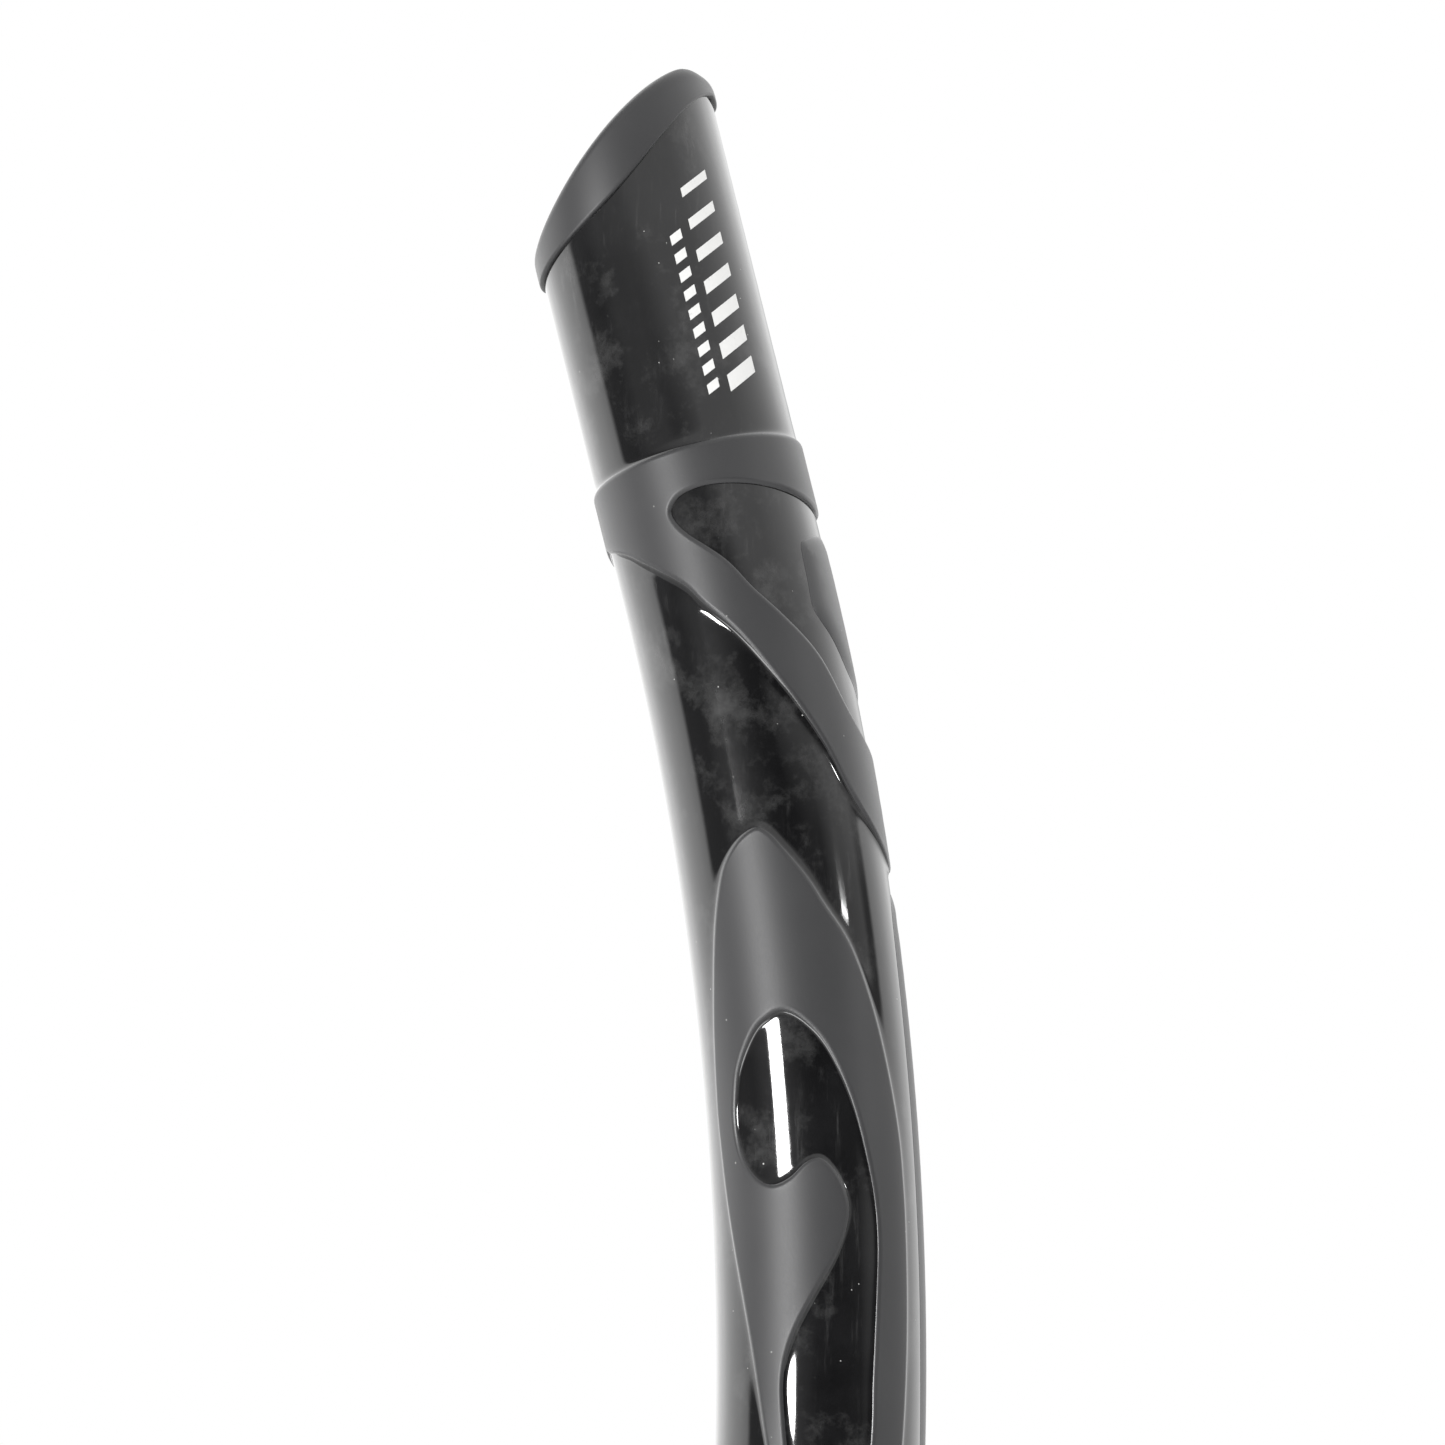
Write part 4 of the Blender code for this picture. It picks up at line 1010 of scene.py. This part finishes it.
def make_clip():
    """A base with a lip and hinge ears, its pin, and the gate that closes over the strap."""
    low_x = CLIP_FLOOR - 2.6
    wide = CLIP_WIDE / 2
    side = [(low_x, -CLIP_HALF), (CLIP_FLOOR, -CLIP_HALF), (CLIP_FLOOR, CLIP_HALF - 4.5),
            (CLIP_TOP - 0.6, CLIP_HALF - 4.5), (CLIP_TOP - 0.6, CLIP_HALF - 2), (low_x, CLIP_HALF - 2)]
    side = fillet(side, [0.8, 0, 0.8, 0.5, 0.9, 1.2])
    ear = fillet([(low_x + 0.5, -CLIP_HALF), (PIN_X + 2, -CLIP_HALF), (PIN_X + 2.4, PIN_Z),
                  (PIN_X + 1.5, PIN_Z + 2.2), (PIN_X - 2, PIN_Z + 2.4), (low_x + 0.5, PIN_Z + 2.6)],
                 [0, 1.6, 1.2, 1.0, 1.0, 0])
    pin_line = Matrix.Translation((PIN_X, 0, PIN_Z)) @ ALONG_Y
    ears = [prism(ear, -wide, -wide + 3.4), prism(ear, wide - 3.4, wide)]
    cut = [moved(rod(1.15, -wide - 1, wide + 1, 0.1), pin_line), moved(rod(2.4, low_x - 1, 26), ALONG_X),
           moved(rod(4.1, 23.4, 26), ALONG_X)]
    shape = moulded(prism(side, -wide, wide), ears, cut, 0.3, 4)
    piece("clip_base_plate", shape, "strap_clip", ["clip_base"], PLASTIC, CLIP)
    piece("gate_pin_shaft", moved(rod(1.05, -wide + 0.2, wide - 0.2, 0.35), ALONG_Y), "strap_clip",
          ["gate_pin"], STEEL, GATE)
    make_gate()


def make_gate():
    """The bar is drawn from its pin: x outwards, z up along the clip; its outside has thumb ridges."""
    x = CLIP_TOP - PIN_X
    far = CLIP_HALF - PIN_Z
    knuckle = CLIP_WIDE / 2 - 3.8
    bar = fillet([(x, -1.5), (x + 2.2, -1.5), (x + 2.2, far), (x - 3, far), (x - 3.4, far - 1.5),
                  (x, far - 1.6)], [0, 1.0, 1.2, 0.5, 0.4, 0.5])
    hub = moved(rod(2.5, -knuckle, knuckle), ALONG_Y)
    ridges = [moved(rod(0.45, -knuckle + 1.5, knuckle - 1.5, 0.2, 24),
                    Matrix.Translation((x + 2.2, 0, far - 3 - 1.8 * i)) @ ALONG_Y) for i in range(4)]
    bore = moved(rod(1.15, -knuckle - 1, knuckle + 1, 0.1), ALONG_Y)
    shape = moulded(prism(bar, -knuckle, knuckle), [hub] + ridges, [bore], 0.28, 4)
    piece("clip_gate_bar", shape, "strap_gate", ["clip_gate"], PLASTIC, GATE)


# ---------------------------------------------------------------- studio

# Light strength by direction round the object, in degrees from the camera, + to the right: below and above
# a slanting line near the eye's level
LOW_LIGHT = [(-180, 1.0), (-165, 2.2), (-135, 3.8), (-100, 3.7), (-89, 3.2), (-84, 0.42), (-64, 0.38),
             (-50, 0.72), (-28, 0.75), (-14, 0.4), (-4, 0.2), (12, 0.12), (45, 0.25), (62, 1.1), (86, 1.25),
             (92, 0.5), (98, 0.45), (103, 2.6), (130, 2.9), (152, 2.4), (168, 0.9), (180, 1.0)]
HIGH_LIGHT = [(-180, 1.2), (-165, 2.4), (-135, 3.8), (-100, 3.7), (-89, 3.2), (-84, 0.5), (-62, 0.4),
              (-48, 0.8), (-28, 1.2), (-10, 1.5), (10, 1.6), (50, 1.7), (90, 2.5), (110, 3.0), (130, 3.4),
              (150, 2.8), (168, 1.8), (180, 1.2)]
CHANGE_LOW = math.sin(math.radians(14))
CHANGE_HIGH = math.sin(math.radians(19))
BRIGHTEST = 5.0  # top of the light curves

# Offset from the foot in millimetres, width and height, watts, and the point each lamp faces
LAMPS = {"key_lamp": ((-445, -665, 183), (202, 108), 5.2, (15, 0, 150)),
         "low_lamp": ((-203, -260, 20), (160, 150), 0.6, (5, 0, 140)),
         "side_lamp": ((724, -388, 395), (90, 18), 0.45, (20, 0, 180))}


def make_world():
    """Studio light by direction: bright to the left and behind, dark in front, a high soft box in front. The
    camera sees plain white."""
    world = bpy.data.worlds.new("studio")
    bpy.context.scene.world = world
    world.use_nodes = True
    tree = world.node_tree
    tree.nodes.clear()
    way = node(tree, "ShaderNodeTexCoord").outputs["Generated"]
    axes = node(tree, "ShaderNodeSeparateXYZ", Vector=way).outputs
    turn = math_node(tree, "ARCTAN2", axes[0], math_node(tree, "MULTIPLY", axes[1], -1.0))
    place = spread(tree, turn, -math.pi, math.pi)
    low = light_ramp(tree, place, LOW_LIGHT)
    high = light_ramp(tree, place, HIGH_LIGHT)
    lift = spread(tree, turn, math.radians(-50), math.radians(5), 0.10, 0.0)
    drop = spread(tree, turn, math.radians(15), math.radians(60), 0.0, 0.065)
    height = math_node(tree, "SUBTRACT", math_node(tree, "ADD", axes[2], lift), drop)
    rise = spread(tree, height, CHANGE_LOW, CHANGE_HIGH)
    light = node(tree, "ShaderNodeMix", data_type="FLOAT", I0=rise, I2=low, I3=high).outputs[0]
    lit = node(tree, "ShaderNodeBackground", Strength=light)
    plain = node(tree, "ShaderNodeBackground", Strength=1.0, Color=(1, 1, 1, 1))
    seen = node(tree, "ShaderNodeLightPath").outputs["Is Camera Ray"]
    both = node(tree, "ShaderNodeMixShader", I0=seen, I1=lit.outputs[0], I2=plain.outputs[0])
    node(tree, "ShaderNodeOutputWorld", Surface=both.outputs[0])


def light_ramp(tree, place, stops):
    """Light strength at a place round the object, 0 to 1, running straight between stops in degrees."""
    curve = node(tree, "ShaderNodeFloatCurve", Value=place)
    points = curve.mapping.curves[0].points
    for degrees, strength in stops[1:-1]:
        points.new((degrees + 180) / 360, strength / BRIGHTEST)
    points[0].location = (0, stops[0][1] / BRIGHTEST)
    points[-1].location = (1, stops[-1][1] / BRIGHTEST)
    for point in points:
        point.handle_type = "VECTOR"
    curve.mapping.update()
    return math_node(tree, "MULTIPLY", curve.outputs[0], BRIGHTEST)


def make_lamp(name, offset, size, power, target):
    """A rectangular lamp that faces a target and that the camera doesn't see."""
    light = bpy.data.lights.new(name, "AREA")
    light.shape = "RECTANGLE"
    light.size = size[0] * MM
    light.size_y = size[1] * MM
    light.energy = power
    obj = bpy.data.objects.new(name, light)
    bpy.context.scene.collection.objects.link(obj)
    obj.location = FOOT @ Vector(offset) * MM
    look = Vector(target) - Vector(offset)
    obj.rotation_euler = look.to_track_quat("-Z", "Y").to_euler()
    obj.visible_camera = False


def make_floor():
    """A plain floor, low enough for the mouthpiece to hang above it with the hose bent as far as it goes."""
    drop = 31.0
    mesh = bpy.data.meshes.new("floor")
    mesh.from_pydata([(-3, -3, 0), (3, -3, 0), (3, 3, 0), (-3, 3, 0)], [], [(0, 1, 2, 3)])
    floor = bpy.data.objects.new("floor", mesh)
    bpy.context.scene.collection.objects.link(floor)
    floor.location.z = CAD_BOX[0][2] - drop * MM
    mat, tree, shader = new_material("pale_floor")
    feed(shader, Base_Color=mix_color(tree, noise(tree, 3, 2), grey(0.60), grey(0.64)), Roughness=0.7)
    mesh.materials.append(mat)


def make_camera():
    """Level camera in front of the barrel; the frame is shifted up to its top, as in a cropped picture. The
    shift holds only at this place, so a camera moved round the part looks straight at it."""
    away = 540.0
    seen = 181.53  # height and width of the frame at the barrel, in millimetres
    middle = 193.73  # height of the frame's middle above the foot
    eye = Vector((3.63, -away, 75))
    data = bpy.data.cameras.new("camera")
    camera = bpy.data.objects.new("camera", data)
    bpy.context.scene.collection.objects.link(camera)
    camera.location = FOOT @ eye * MM
    camera.rotation_euler = (math.pi / 2, 0, 0)
    data.sensor_width = 36
    data.lens = data.sensor_width * away / seen
    data.clip_start = 0.01
    driver = data.driver_add("shift_y").driver
    driver.type = "SCRIPTED"
    place = driver.variables.new()
    place.name = "y"
    place.type = "TRANSFORMS"
    place.targets[0].id = camera
    place.targets[0].transform_type = "LOC_Y"
    place.targets[0].transform_space = "WORLD_SPACE"
    shift = (middle - eye.z) / seen
    driver.expression = f"{shift:.4f} if abs(y - {camera.location.y:.6f}) < 1e-4 else 0"
    bpy.context.scene.camera = camera


def build():
    make_barrel()
    make_rim()
    make_overmoulds()
    make_print()
    make_foot_cuff()
    make_swivel()
    make_hose()
    make_chamber()
    make_purge()
    make_mouthpiece()
    make_keeper()
    make_clip()
    finishes = {"gloss_tube": GLOSS, "soft_grip": RUBBER, "black_plastic": PLASTIC, "silicone": SILICONE,
                "clear_silicone": CLEAR, "seal": SILICONE, "steel": STEEL}
    for row in frame["record"]["subparts"]:
        mesh = frame["nodes"][row["node"]].data
        mesh.materials.clear()
        mesh.materials.append(finishes[row["material_slot"]])
    make_world()
    for name, (offset, size, power, target) in LAMPS.items():
        make_lamp(name, offset, size, power, target)
    make_floor()
    make_camera()
    bpy.context.scene.view_settings.view_transform = "Standard"


build()
